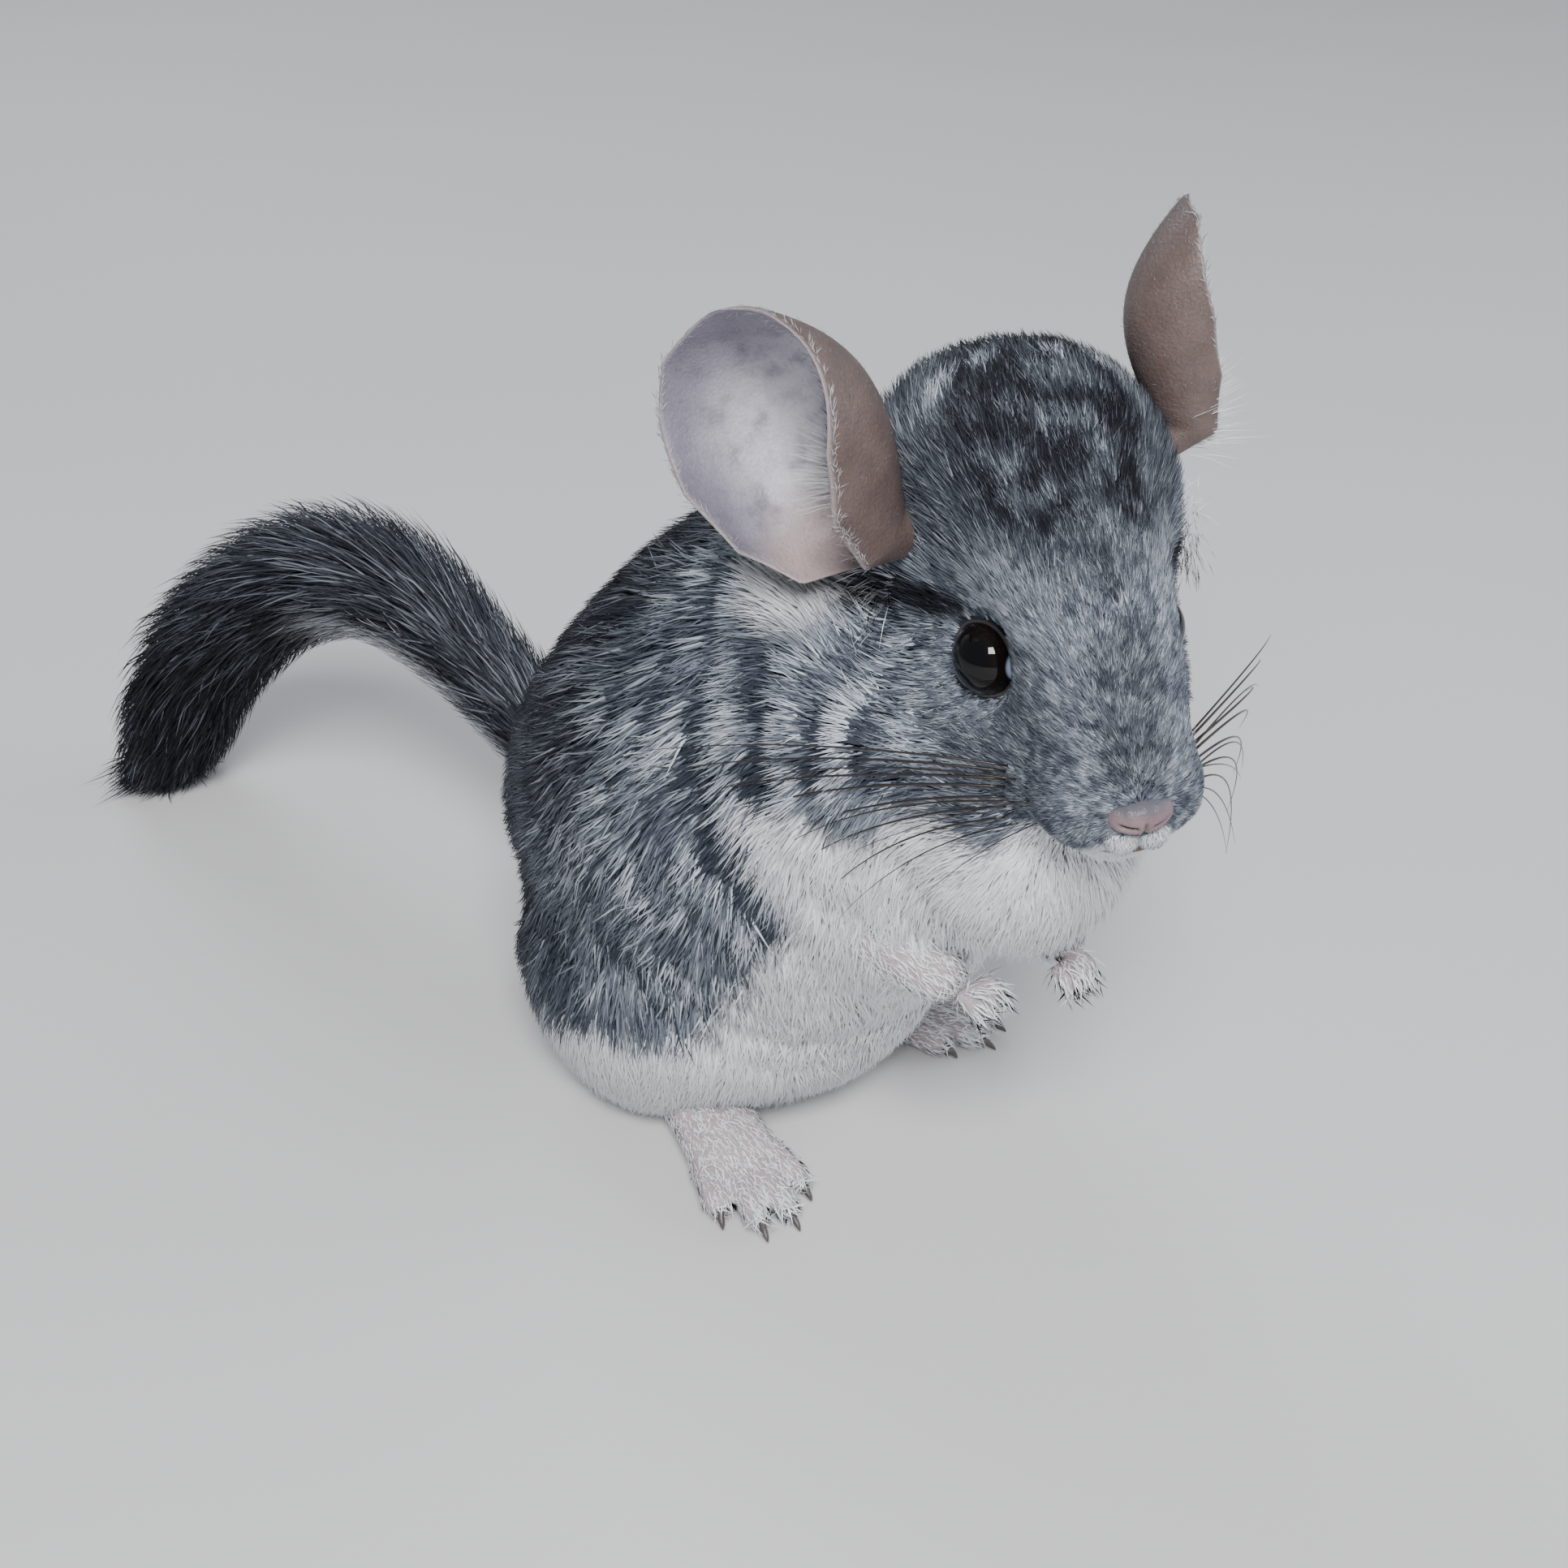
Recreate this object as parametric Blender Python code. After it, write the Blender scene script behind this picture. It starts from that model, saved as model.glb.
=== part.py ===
"""A chinchilla that sits hunched on its hind feet with its head turned to its right, life-size and still.

Metres, +Z up, floor at z = 0. The animal faces -Y and its left side is +X. The outer surface of the coat is
modelled whole from swept forms, fused, and then parted by thin cuts into one named object for each part.
Rows of sizes are in millimetres, and MM turns them into metres.
"""

import math

import bmesh
import bpy
import numpy as np
from mathutils import Vector
from mathutils.bvhtree import BVHTree

MM = 0.001
GAP = 0.3
UP = np.array([0.0, 0.0, 1.0])

# Middle of the model's box on the floor, in the frame that the rows below use.
BOX_MIDDLE = (-0.5, 47.2)

# Head frame: its middle between the eyes, turned to the animal's right, dropped and tilted.
HEAD_AT = np.array([-6.6, -62.2, 115.2])
HEAD_TURN = math.radians(33.8)
HEAD_DROP = math.radians(3.5)
HEAD_TILT = math.radians(4.8)

EYE_RADIUS = 5.6
EYE_AT = (-1.7, 12.0, -1.8)
EYE_LOOKS = (0.58, 1.0, 0.28)
SKIN_AT_EYE = 1.3
LID_RADIUS = 6.3
LID_THICK = 1.3
ORBIT_RADIUS = 12.0

EAR_THICK = 1.3
# How far an ear runs on below its base, as a share of its height, and how far it turns into the head there.
ROOT_DEPTH = 0.3
ROOT_INSET = 9.0
# Shares of the ear's height, the radius of its cup there, and half of the arc that the cup spans.
EAR_HEIGHTS = (0, 0.25, 0.5, 0.75, 0.92, 1)
EAR_RADII = (9.3, 14.2, 17.2, 19.5, 20.1, 20.3)
EAR_ARCS = (131, 131, 108, 70, 42, 3)
# Base and tip in the head frame, the cup's facing, and how wide and how bowed the cup is.
EARS = {
    "right": dict(base=(-22.8, -22.2, 14.6), tip=(-28.4, -43.6, 46.1), facing=35, wide=1.0, bow=8.5),
    "left": dict(base=(-25.2, 22.8, 18.5), tip=(-34.0, 29.0, 50.2), facing=12, wide=0.6, bow=7.0),
}

BODY_CELL = 3.0
BODY_FACES = 2900
HEAD_CELL = 1.4
HEAD_FACES = 1950

SIDES = {"right": -1, "left": 1}

# Rows: x, y, z, half width, half height on the back's side, half height on the belly's side.
TORSO = (
    (0, 44, 40, 22, 20, 26),
    (0, 34, 46, 36, 31, 40),
    (0, 17, 57, 44, 40, 50),
    (-1, -3, 70, 44, 45, 50),
    (-2, -19, 83, 39, 44, 41),
    (-3, -32, 96, 34, 38, 34),
    (-4, -42, 106, 29, 32, 30),
)
BELLY = ((-1, 6, 32), (42, 36, 33.8))
THIGH = ((23, 13, 30), (20, 29, 31.6))
BIB = ((-4.5, -56.5, 80), (23, 17, 21.5))
CHEST = ((-7, -38, 68), (24, 18, 26))

# Rows in the head frame: forward, up, half width, half height above, half height below.
HEAD = (
    (30, -14, 3.5, 5, 3),
    (28, -14, 7.2, 8.5, 6.5),
    (23, -12, 9.8, 12, 11.5),
    (15, -8, 11.8, 17.5, 15.5),
    (5, -2, 13.8, 24, 19.5),
    (-6, 2, 17.2, 29, 25),
    (-18, 4, 24.5, 31, 29),
    (-30, 4, 27, 30, 29),
    (-43, 2, 25, 26, 26),
)
JOWLS = (
    (27, -15, 7, 6, 6),
    (20, -15, 11, 9, 8.5),
    (10, -14, 15.5, 11, 10.5),
    (0, -13, 19, 13, 12),
    (-10, -12, 22, 15, 14),
    (-22, -12, 24.5, 18, 16),
    (-36, -12, 25, 20, 18),
)
# Rows in the head frame: middle (forward, left, up) and radii (forward, left, up), made on both sides.
HEAD_PADS = {
    "whisker_pad": ((20, 5.8, -13.5), (9, 7.3, 7.6)),
    "nape": ((-27, 12, -9), (16, 14, 19)),
}
CHIN = ((18, 0, -20), (8, 7.5, 7))
NOSE = ((28.6, 0, -12.2), (2.6, 4.6, 3.2))

# Rows in the frame of a foot: forward, outward, up, half width, half height above, half height below.
SOLE = (
    (-4, 0, 7, 4, 5, 7.4),
    (6, 0, 7, 6, 6, 7.4),
    (20, 0, 6.4, 6.4, 5, 6.8),
    (34, 0, 5, 7.6, 4.2, 5.4),
    (44, 0, 4, 8.2, 3.2, 4.4),
)
# A hind toe: outward offset, where it starts, its length and its spread in degrees.
HIND_TOES = ((-6.4, 41, 8, -10), (-2.2, 43, 11, -3), (2.2, 43, 11, 4), (6.4, 40, 8.5, 12))
FOOT_TURN = math.radians(20)
HEELS = {"right": (-17.2, 20.5), "left": (11.2, 27.5)}

# Rows: x, y, z, half width, half height above, half height below. The last row is the paw's middle.
FORELEGS = {
    "right": (
        (-22, -24, 74, 9, 9, 10),
        (-21.5, -36, 63, 7, 7, 8),
        (-19.5, -46, 57, 5.4, 5.2, 5.4),
        (-17, -53, 54, 4.8, 4, 3.8),
    ),
    "left": (
        (16, -30, 74, 9, 9, 10),
        (11, -45, 63, 7, 7, 8),
        (5.5, -53.5, 56, 5.4, 5.2, 5.4),
        (1, -58, 52, 4.8, 4, 3.8),
    ),
}
FINGERS = (-3.0, -1.0, 1.0, 3.0)

# Rows: x, y, z, half width, half height above, half height below, out to the tips of the hair.
TAIL = (
    (0, 40, 34, 8, 8, 8),
    (0, 62, 41, 9, 9, 8),
    (-2, 84, 55, 10, 12, 9),
    (-6, 108, 65, 12, 15, 11),
    (-11, 132, 58, 15, 15, 13),
    (-17, 154, 39, 17, 14, 14),
    (-21, 169, 13, 14, 11, 12),
    (-22, 175, -1, 9, 8, 6),
)
TAIL_CUTS = (0.43, 0.70)
# The core's share of the hair's depth, and the flat locks that stand on it in staggered rows.
TAIL_CORE = 0.5
# Where the rows of locks start in each length of the tail. None starts just before a cut.
LOCK_ROWS = {
    "tail_base": (0.05, 0.13, 0.21, 0.29, 0.37),
    "tail_middle": (0.445, 0.51, 0.575, 0.64),
    "tail_tip": (0.715, 0.78, 0.845, 0.91),
}
LOCKS_IN_ROW = 5
LOCK_LENGTH = 33.0
LOCK_SEED = 4
# Rows along a lock: share of its length, share of the hair's depth, half width and half thickness.
LOCK = ((0, 0.30, 3.4, 1.4), (0.4, 0.68, 5.2, 1.4), (0.78, 0.93, 3.0, 0.9), (1, 1.02, 0, 0))

COLOURS = {
    "coat": (0.23, 0.26, 0.31),
    "ear": (0.36, 0.27, 0.27),
    "eye": (0.01, 0.01, 0.012),
    "foot": (0.42, 0.40, 0.42),
    "paw": (0.62, 0.62, 0.64),
    "tail": (0.10, 0.10, 0.12),
}


def unit(vectors):
    """Vectors of length one along the given ones."""
    return vectors / np.maximum(np.linalg.norm(vectors, axis=-1, keepdims=True), 1e-12)


def head_axes():
    """Rows are the head's forward, left and up directions."""
    turn, drop, tilt = HEAD_TURN, HEAD_DROP, HEAD_TILT
    forward = np.array([-math.sin(turn) * math.cos(drop), -math.cos(turn) * math.cos(drop), -math.sin(drop)])
    level = np.array([math.cos(turn), -math.sin(turn), 0.0])
    above = np.cross(forward, level)
    left = level * math.cos(tilt) + above * math.sin(tilt)
    return np.stack([forward, left, np.cross(forward, left)])


HEAD_AXES = head_axes()


def from_head(point):
    """Body-frame place of a point given as forward, left and up in the head frame."""
    return HEAD_AT + np.asarray(point, float) @ HEAD_AXES


def smooth_rows(rows, count):
    """Catmull-Rom curve through the control rows, read at count evenly spaced places."""
    rows = np.asarray(rows, float)
    place = np.linspace(0, len(rows) - 1, count)
    first = np.clip(place.astype(int), 0, len(rows) - 2)
    t = (place - first)[:, None]
    padded = np.vstack([2 * rows[0] - rows[1], rows, 2 * rows[-1] - rows[-2]])
    a, b, c, d = (padded[first + step] for step in range(4))
    return 0.5 * (2 * b + (c - a) * t + (2 * a - 5 * b + 4 * c - d) * t**2 + (3 * b - a - 3 * c + d) * t**3)


def by_length(rows, places):
    """The rows of a smooth curve at the given shares of its length, and its direction there."""
    curve = smooth_rows(rows, 400)
    steps = np.linalg.norm(np.diff(curve[:, :3], axis=0), axis=1)
    along = np.concatenate([[0.0], np.cumsum(steps)])
    along /= along[-1]
    row = np.stack([np.interp(places, along, column) for column in curve.T], axis=-1)
    bends = np.gradient(curve[:, :3], along, axis=0)
    ahead = unit(np.stack([np.interp(places, along, column) for column in bends.T], axis=-1))
    return row, ahead


def sweep(rows, rings=24, spokes=20, caps=(0.1, 0.1), up=UP, squareness=2.0):
    """Grid of points (ring, spoke) of a form swept along a smooth axis, round at both ends.

    Ring t is its centre + width cos(a)^(2/q) side + height sin(a)^(2/q) up, where the height differs above
    and below, and within the caps both sizes fall as sqrt(1 - s^2).
    """
    turn = np.linspace(0, 1, rings)
    first, last = caps
    t = first + (turn - first) / (1 - first - last) * (1 - first - last)
    t = np.where(turn < first, first * (1 - np.cos(np.pi / 2 * turn / first)), t)
    t = np.where(turn > 1 - last, 1 - last * (1 - np.cos(np.pi / 2 * (1 - turn) / last)), t)
    row, ahead = by_length(rows, t)
    side = unit(np.cross(ahead, up))
    above = np.cross(side, ahead)
    inside = np.maximum(np.maximum((first - t) / first, (t - 1 + last) / last), 0)
    size = np.sqrt(np.maximum(1 - inside**2, 0))
    angle = np.linspace(0, 2 * np.pi, spokes, endpoint=False)
    across = np.sign(np.cos(angle)) * np.abs(np.cos(angle)) ** (2 / squareness)
    upward = np.sign(np.sin(angle)) * np.abs(np.sin(angle)) ** (2 / squareness)
    width = (row[:, 3] * size)[:, None] * across
    height = np.where(upward >= 0, (row[:, 4] * size)[:, None], (row[:, 5] * size)[:, None]) * upward
    return row[:, None, :3] + width[..., None] * side[:, None] + height[..., None] * above[:, None]


def ball(middle, radii, axes=np.eye(3), rings=14, spokes=20):
    """Grid of points of an ellipsoid whose radii lie along the rows of axes."""
    tilt = np.linspace(0, np.pi, rings)[:, None]
    angle = np.linspace(0, 2 * np.pi, spokes, endpoint=False)
    rows = np.stack([np.sin(tilt) * np.cos(angle), np.sin(tilt) * np.sin(angle), np.cos(tilt) + 0 * angle], -1)
    return np.asarray(middle, float) + (rows * np.asarray(radii, float)) @ axes


def head_ball(middle, radii, side=1, grow=0.0):
    """Ellipsoid in the head frame, mirrored to the right side where side is -1."""
    forward, left, up = middle
    return ball(from_head((forward, left * side, up)), np.asarray(radii) + grow, HEAD_AXES)


def grid_mesh(grids):
    """Points and faces of swept grids, each closed at both ends by a single point."""
    points, faces = [], []
    for grid in grids:
        rings, spokes = grid.shape[:2]
        start = len(points)
        points += [tuple(grid[0].mean(axis=0)), *map(tuple, grid[1:-1].reshape(-1, 3))]
        points.append(tuple(grid[-1].mean(axis=0)))
        end = len(points) - 1
        for ring in range(rings - 3):
            for spoke in range(spokes):
                a = start + 1 + ring * spokes + spoke
                b = start + 1 + ring * spokes + (spoke + 1) % spokes
                faces.append((a, b, b + spokes, a + spokes))
        for spoke in range(spokes):
            following = (spoke + 1) % spokes
            faces.append((start, start + 1 + following, start + 1 + spoke))
            faces.append((end, end - spokes + spoke, end - spokes + following))
    return points, faces


def mesh_object(name, points, faces):
    """Object in the scene with its faces turned outwards. The points are in millimetres."""
    mesh = bpy.data.meshes.new(name)
    mesh.from_pydata([tuple(MM * value for value in point) for point in points], [], faces)
    shell = bmesh.new()
    shell.from_mesh(mesh)
    bmesh.ops.recalc_face_normals(shell, faces=shell.faces)
    shell.to_mesh(mesh)
    shell.free()
    obj = bpy.data.objects.new(name, mesh)
    bpy.context.scene.collection.objects.link(obj)
    return obj


def grid_object(name, *grids):
    """Object of one or more swept grids, which may run through each other."""
    return mesh_object(name, *grid_mesh(grids))


def applied(obj):
    """The object with its modifiers' result as its own mesh."""
    graph = bpy.context.evaluated_depsgraph_get()
    mesh = bpy.data.meshes.new_from_object(obj.evaluated_get(graph))
    obj.modifiers.clear()
    obj.data = mesh
    return obj


def removed(*objects):
    """Takes helpers out of the file once they have done their work."""
    for obj in objects:
        bpy.data.objects.remove(obj)


def fused(name, grids, cell, smoothing):
    """One closed skin round all the grids, on cells of the given size, then evened out."""
    obj = grid_object(name, *grids)
    remesh = obj.modifiers.new("fuse", "REMESH")
    remesh.mode = "VOXEL"
    remesh.voxel_size = cell * MM
    smooth = obj.modifiers.new("even", "SMOOTH")
    smooth.iterations = smoothing
    return applied(obj)


def boolean(obj, other, operation, solver="EXACT"):
    """Applies one Boolean, and leaves the other object as it was."""
    cut = obj.modifiers.new(operation.lower(), "BOOLEAN")
    cut.operation = operation
    cut.solver = solver
    cut.object = other
    return applied(obj)


def joined(name, pieces, solver="EXACT"):
    """One closed object from many closed objects that run through each other."""
    helpers = bpy.data.collections.new(name + "_pieces")
    bpy.context.scene.collection.children.link(helpers)
    first, *others = pieces
    for piece in others:
        bpy.context.scene.collection.objects.unlink(piece)
        helpers.objects.link(piece)
    union = first.modifiers.new("union", "BOOLEAN")
    union.operation = "UNION"
    union.solver = solver
    union.operand_type = "COLLECTION"
    union.collection = helpers
    applied(first)
    removed(*others)
    bpy.data.collections.remove(helpers)
    first.name = name
    return first


def largest_surface(obj):
    """Keeps only the largest closed surface of the object's mesh."""
    shell = bmesh.new()
    shell.from_mesh(obj.data)
    bmesh.ops.remove_doubles(shell, verts=shell.verts, dist=1e-7)
    left = set(shell.faces)
    surfaces = []
    while left:
        seed = left.pop()
        surface, edge_of_search = {seed}, [seed]
        while edge_of_search:
            for edge in edge_of_search.pop().edges:
                for face in edge.link_faces if edge.is_manifold else ():
                    if face in left:
                        left.remove(face)
                        surface.add(face)
                        edge_of_search.append(face)
        surfaces.append(surface)
    surfaces.sort(key=lambda surface: sum(face.calc_area() for face in surface))
    loose = [face for surface in surfaces[:-1] for face in surface]
    bmesh.ops.delete(shell, geom=loose, context="FACES")
    shell.to_mesh(obj.data)
    shell.free()
    return obj


def keep_side(obj, point, normal):
    """Cuts the object with a plane, keeps what lies on the normal's side and closes the cut."""
    shell = bmesh.new()
    shell.from_mesh(obj.data)
    geometry = [*shell.verts, *shell.edges, *shell.faces]
    place = Vector(MM * value for value in point)
    bmesh.ops.bisect_plane(
        shell, geom=geometry, dist=1e-7, plane_co=place, plane_no=Vector(normal), clear_inner=True
    )
    rim = [edge for edge in shell.edges if edge.is_boundary]
    bmesh.ops.holes_fill(shell, edges=rim, sides=0)
    bmesh.ops.triangulate(shell, faces=[face for face in shell.faces if len(face.verts) > 4])
    shell.to_mesh(obj.data)
    shell.free()
    return obj


def copied(obj, name, grow=0.0):
    """A copy, with every point moved out along its normal by the given distance."""
    double = bpy.data.objects.new(name, obj.data.copy())
    bpy.context.scene.collection.objects.link(double)
    count = len(double.data.vertices)
    points, normals = np.empty(3 * count), np.empty(3 * count)
    double.data.vertices.foreach_get("co", points)
    double.data.vertex_normals.foreach_get("vector", normals)
    double.data.vertices.foreach_set("co", points + grow * MM * normals)
    double.data.update()
    return double


def body_grids():
    """The forms of the whole body without feet, forelegs, ears and tail."""
    grids = [sweep(TORSO, 48, 48, (0.08, 0.08)), ball(*BELLY, rings=24, spokes=36), ball(*BIB), ball(*CHEST)]
    for side in SIDES.values():
        (x, y, z), radii = THIGH
        grids.append(ball((x * side - 1, y, z), radii, rings=24, spokes=36))
        for middle, sizes in HEAD_PADS.values():
            grids.append(head_ball(middle, sizes, side))
    for table in (HEAD, JOWLS):
        rows = [(*from_head((forward, 0, up)), *sizes) for forward, up, *sizes in table]
        grids.append(sweep(rows, 48, 40, (0.05, 0.1), up=HEAD_AXES[2], squareness=2.1))
    grids += [head_ball(*CHIN), head_ball(*NOSE)]
    return grids


def eye_axis(side):
    """The direction in which the eye on that side looks."""
    forward, left, up = EYE_LOOKS
    return unit(np.array([forward, left * side, up])) @ HEAD_AXES


def eye_middle(side):
    forward, left, up = EYE_AT
    return from_head((forward, left * side, up))


def smooth_step(value, start, end):
    """0 before start, 1 after end, and a smooth rise between them."""
    share = np.clip((value - start) / (end - start), 0, 1)
    return share * share * (3 - 2 * share)


def set_orbits(obj):
    """Draws the skin round each eye to a shallow orbit, SKIN_AT_EYE out from the eye's middle.

    The orbit blends into the face between LID_RADIUS and ORBIT_RADIUS from the eye's axis.
    """
    count = len(obj.data.vertices)
    points = np.empty(3 * count)
    obj.data.vertices.foreach_get("co", points)
    points = points.reshape(-1, 3) / MM
    for side in SIDES.values():
        axis = eye_axis(side)
        away = points - eye_middle(side)
        out = away @ axis
        radius = np.linalg.norm(away - out[:, None] * axis, axis=1)
        share = 1 - smooth_step(radius, LID_RADIUS - 1, ORBIT_RADIUS)
        share = np.where(out > -2, share, 0)
        points += (share * (SKIN_AT_EYE - out))[:, None] * axis
    obj.data.vertices.foreach_set("co", (points * MM).ravel())
    obj.data.update()


def build_lid(side):
    """Ring of lid round an eye: a tube of oval section, bent in a circle about the eye's axis."""
    axis = eye_axis(side)
    across = unit(np.cross(axis, UP))
    above = np.cross(axis, across)
    turn = np.linspace(0, 2 * np.pi, 24, endpoint=False)[:, None]
    angle = np.linspace(0, 2 * np.pi, 7, endpoint=False)[None]
    radius = (LID_RADIUS + LID_THICK * np.cos(angle))[..., None]
    height = (SKIN_AT_EYE + 0.8 * LID_THICK * np.sin(angle) + 0 * turn)[..., None]
    around = np.cos(turn)[..., None] * across + np.sin(turn)[..., None] * above
    points = (eye_middle(side) + radius * around + height * axis).reshape(-1, 3)
    number = np.arange(len(points)).reshape(24, 7)
    ahead, beside = np.roll(number, -1, axis=0), np.roll(number, -1, axis=1)
    faces = np.stack([number, ahead, np.roll(ahead, -1, axis=1), beside], -1).reshape(-1, 4)
    return mesh_object("lid", points, [tuple(map(int, face)) for face in faces])


def thinned(obj, faces):
    """Fewer faces, most of them left where the surface bends."""
    obj.data.calc_loop_triangles()
    fewer = obj.modifiers.new("thin", "DECIMATE")
    fewer.ratio = faces / len(obj.data.loop_triangles)
    return applied(obj)


def surface_line(obj, line):
    """The points of a smooth line drawn onto the object's surface, in millimetres."""
    tree = BVHTree.FromObject(obj, bpy.context.evaluated_depsgraph_get())
    return np.array([tuple(tree.find_nearest(Vector(MM * point))[0]) for point in line]) / MM


def groove(name, obj, rows, width, depth):
    """Cutter for a groove along a line of the head, half of it sunk in the surface."""
    line = smooth_rows([from_head(row) for row in rows], 15)
    line = surface_line(obj, line)
    sizes = np.tile((width, depth, depth), (len(line), 1))
    return grid_object(name, sweep(np.hstack([line, sizes]), 11, 6, (0.1, 0.1), up=HEAD_AXES[0]))


def cut_face(head):
    """Sinks the mouth line, the cleft of the lip and the two nostrils into the head.

    The EXACT solver leaves open edges in these fine cuts and in the lids, so they use MANIFOLD.
    """
    mouth = [(27 - 0.115 * x * x, x, -18.5 - 0.03 * x * x) for x in (-9, -6, -3, 0, 3, 6, 9)]
    cutters = [
        groove("mouth", head, mouth, 0.55, 0.9),
        groove("cleft", head, [(30, 0, -14.5), (29.5, 0, -16.5), (28, 0, -18.4)], 0.45, 0.8),
    ]
    for side in SIDES.values():
        slit = [(30.5, 1.6 * side, -14.2), (30.4, 2.8 * side, -13.1), (29.8, 3.9 * side, -12.4)]
        cutters.append(groove("nostril", head, slit, 0.7, 1.0))
    for cutter in cutters:
        boolean(head, cutter, "DIFFERENCE", "MANIFOLD")
        removed(cutter)


def build_head(grids):
    """The head, fine enough for lids, lips and nostrils, cut off behind the ears and under the throat."""
    head = fused("head", grids, HEAD_CELL, 26)
    point, normal = HEAD_PLANE
    keep_side(head, point + GAP / 2 * normal, normal)
    set_orbits(head)
    thinned(head, HEAD_FACES)
    cut_face(head)
    for side in SIDES.values():
        lid = build_lid(side)
        boolean(head, lid, "UNION", "MANIFOLD")
        removed(lid)
        socket = grid_object("socket", ball(eye_middle(side), [EYE_RADIUS + GAP] * 3, rings=12, spokes=18))
        boolean(head, socket, "DIFFERENCE", "MANIFOLD")
        removed(socket)
    return largest_surface(head)


def build_eye(name, side):
    """A ball that shows as a black dome about 10 mm across."""
    across = unit(np.cross(eye_axis(side), UP))
    axes = np.stack([across, np.cross(eye_axis(side), across), eye_axis(side)])
    return grid_object(name, ball(eye_middle(side), [EYE_RADIUS] * 3, axes, rings=10, spokes=14))


def ear_sheet(base, tip, facing, wide, bow, side, rows=12, columns=13):
    """Middle surface of an ear: at each height an arc that opens outwards, along a spine bowed backwards.

    With r and p the radius and half arc at that height, column v from -1 to 1 stands at r sin(p v) along the
    ear's breadth and r (1 - cos(p v)) towards its opening.
    """
    start, end = from_head(base), from_head(tip)
    height = np.linalg.norm(end - start)
    along = (end - start) / height
    facing = math.radians(facing)
    opening = np.array([math.sin(facing), side * math.cos(facing), 0.0]) @ HEAD_AXES
    opening = unit(opening - (opening @ along) * along)
    breadth = np.cross(along, opening)
    share = np.linspace(-ROOT_DEPTH, 1, rows)
    inside = np.clip(share, 0, 1)
    sunk = np.clip(-share / ROOT_DEPTH, 0, 1)
    radius = wide * np.interp(inside, EAR_HEIGHTS, EAR_RADII) * (1 - 0.55 * sunk)
    arc = np.radians(np.interp(inside, EAR_HEIGHTS, EAR_ARCS))
    angle = arc[:, None] * np.linspace(-1, 1, columns)
    across = radius[:, None] * np.sin(angle)
    outward = radius[:, None] * (1 - np.cos(angle)) - (bow * np.sin(np.pi * inside) + ROOT_INSET * sunk)[:, None]
    spine = start + (share * height)[:, None] * along
    return spine[:, None] + across[..., None] * breadth + outward[..., None] * opening


def shell_of(name, sheet, thick):
    """Closed shell about a sheet, full thick inside and thin at its rim."""
    rows, columns = sheet.shape[:2]
    normal = unit(np.cross(np.gradient(sheet, axis=0), np.gradient(sheet, axis=1)))
    down = np.abs(np.linspace(-1, 1, rows))[:, None]
    over = np.abs(np.linspace(-1, 1, columns))[None]
    size = thick / 2 * np.sqrt(np.maximum(1 - np.maximum(down, over) ** 8, 0))
    front = sheet + size[..., None] * normal
    back = sheet - size[..., None] * normal
    inner = np.zeros((rows, columns), bool)
    inner[1:-1, 1:-1] = True
    number = np.arange(rows * columns).reshape(rows, columns)
    behind = number.copy()
    behind[inner] = rows * columns + np.arange(inner.sum())
    points = np.concatenate([front.reshape(-1, 3), back[inner]])
    faces = []
    for layer in (number, behind):
        corners = [layer[:-1, :-1], layer[1:, :-1], layer[1:, 1:], layer[:-1, 1:]]
        faces += [tuple(map(int, face)) for face in np.stack(corners, -1).reshape(-1, 4)]
    return mesh_object(name, points, faces)


def build_ear(name, side, head, sizes):
    """A thin round cup, cut where it meets the head."""
    ear = shell_of(name, ear_sheet(side=side, **sizes), EAR_THICK)
    skull = copied(head, "skull", GAP)
    boolean(ear, skull, "DIFFERENCE")
    removed(skull)
    return largest_surface(ear)


def foot_frame(side_name):
    """Heel on the floor, and the rows forward, outward and up of a hind foot."""
    side = SIDES[side_name]
    forward = np.array([side * math.sin(FOOT_TURN), -math.cos(FOOT_TURN), 0])
    outward = np.array([side * math.cos(FOOT_TURN), math.sin(FOOT_TURN), 0])
    return np.array([*HEELS[side_name], 0.0]), np.stack([forward, outward, UP])


def foot_grids(side_name, grow=0.0):
    """The sole and the four toes with their claws, each a swept form."""
    heel, axes = foot_frame(side_name)

    def placed(rows):
        return [(*(heel + np.array(row[:3]) @ axes), *(size + grow for size in row[3:])) for row in rows]

    grids = [sweep(placed(SOLE), 10, 10, (0.15, 0.15))]
    for offset, start, length, spread in HIND_TOES:
        lean = math.sin(math.radians(spread))
        toe, claw = [], []
        for share, up, wide, high in ((-0.6, 3.6, 2.6, 2.6), (0.2, 4.2, 2.5, 2.6), (1, 2.6, 2.4, 2.4)):
            toe.append((start + share * length, offset + lean * share * length, up, wide, high, up + 0.4))
        for share, up, wide in ((0.8, 2.8, 1.0), (1.1, 2.6, 0.8), (1.3, 1.7, 0.4)):
            claw.append((start + share * length, offset + lean * share * length, up, wide, wide, wide))
        grids.append(sweep(placed(toe), 7, 6, (0.15, 0.2)))
        grids.append(sweep(placed(claw), 4, 4, (0.1, 0.2)))
    return grids


def build_foot(name, side_name):
    """A hind foot flat on the floor."""
    foot = joined(name, [grid_object("piece", grid) for grid in foot_grids(side_name)])
    return largest_surface(keep_side(foot, (0, 0, 0), UP))


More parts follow.
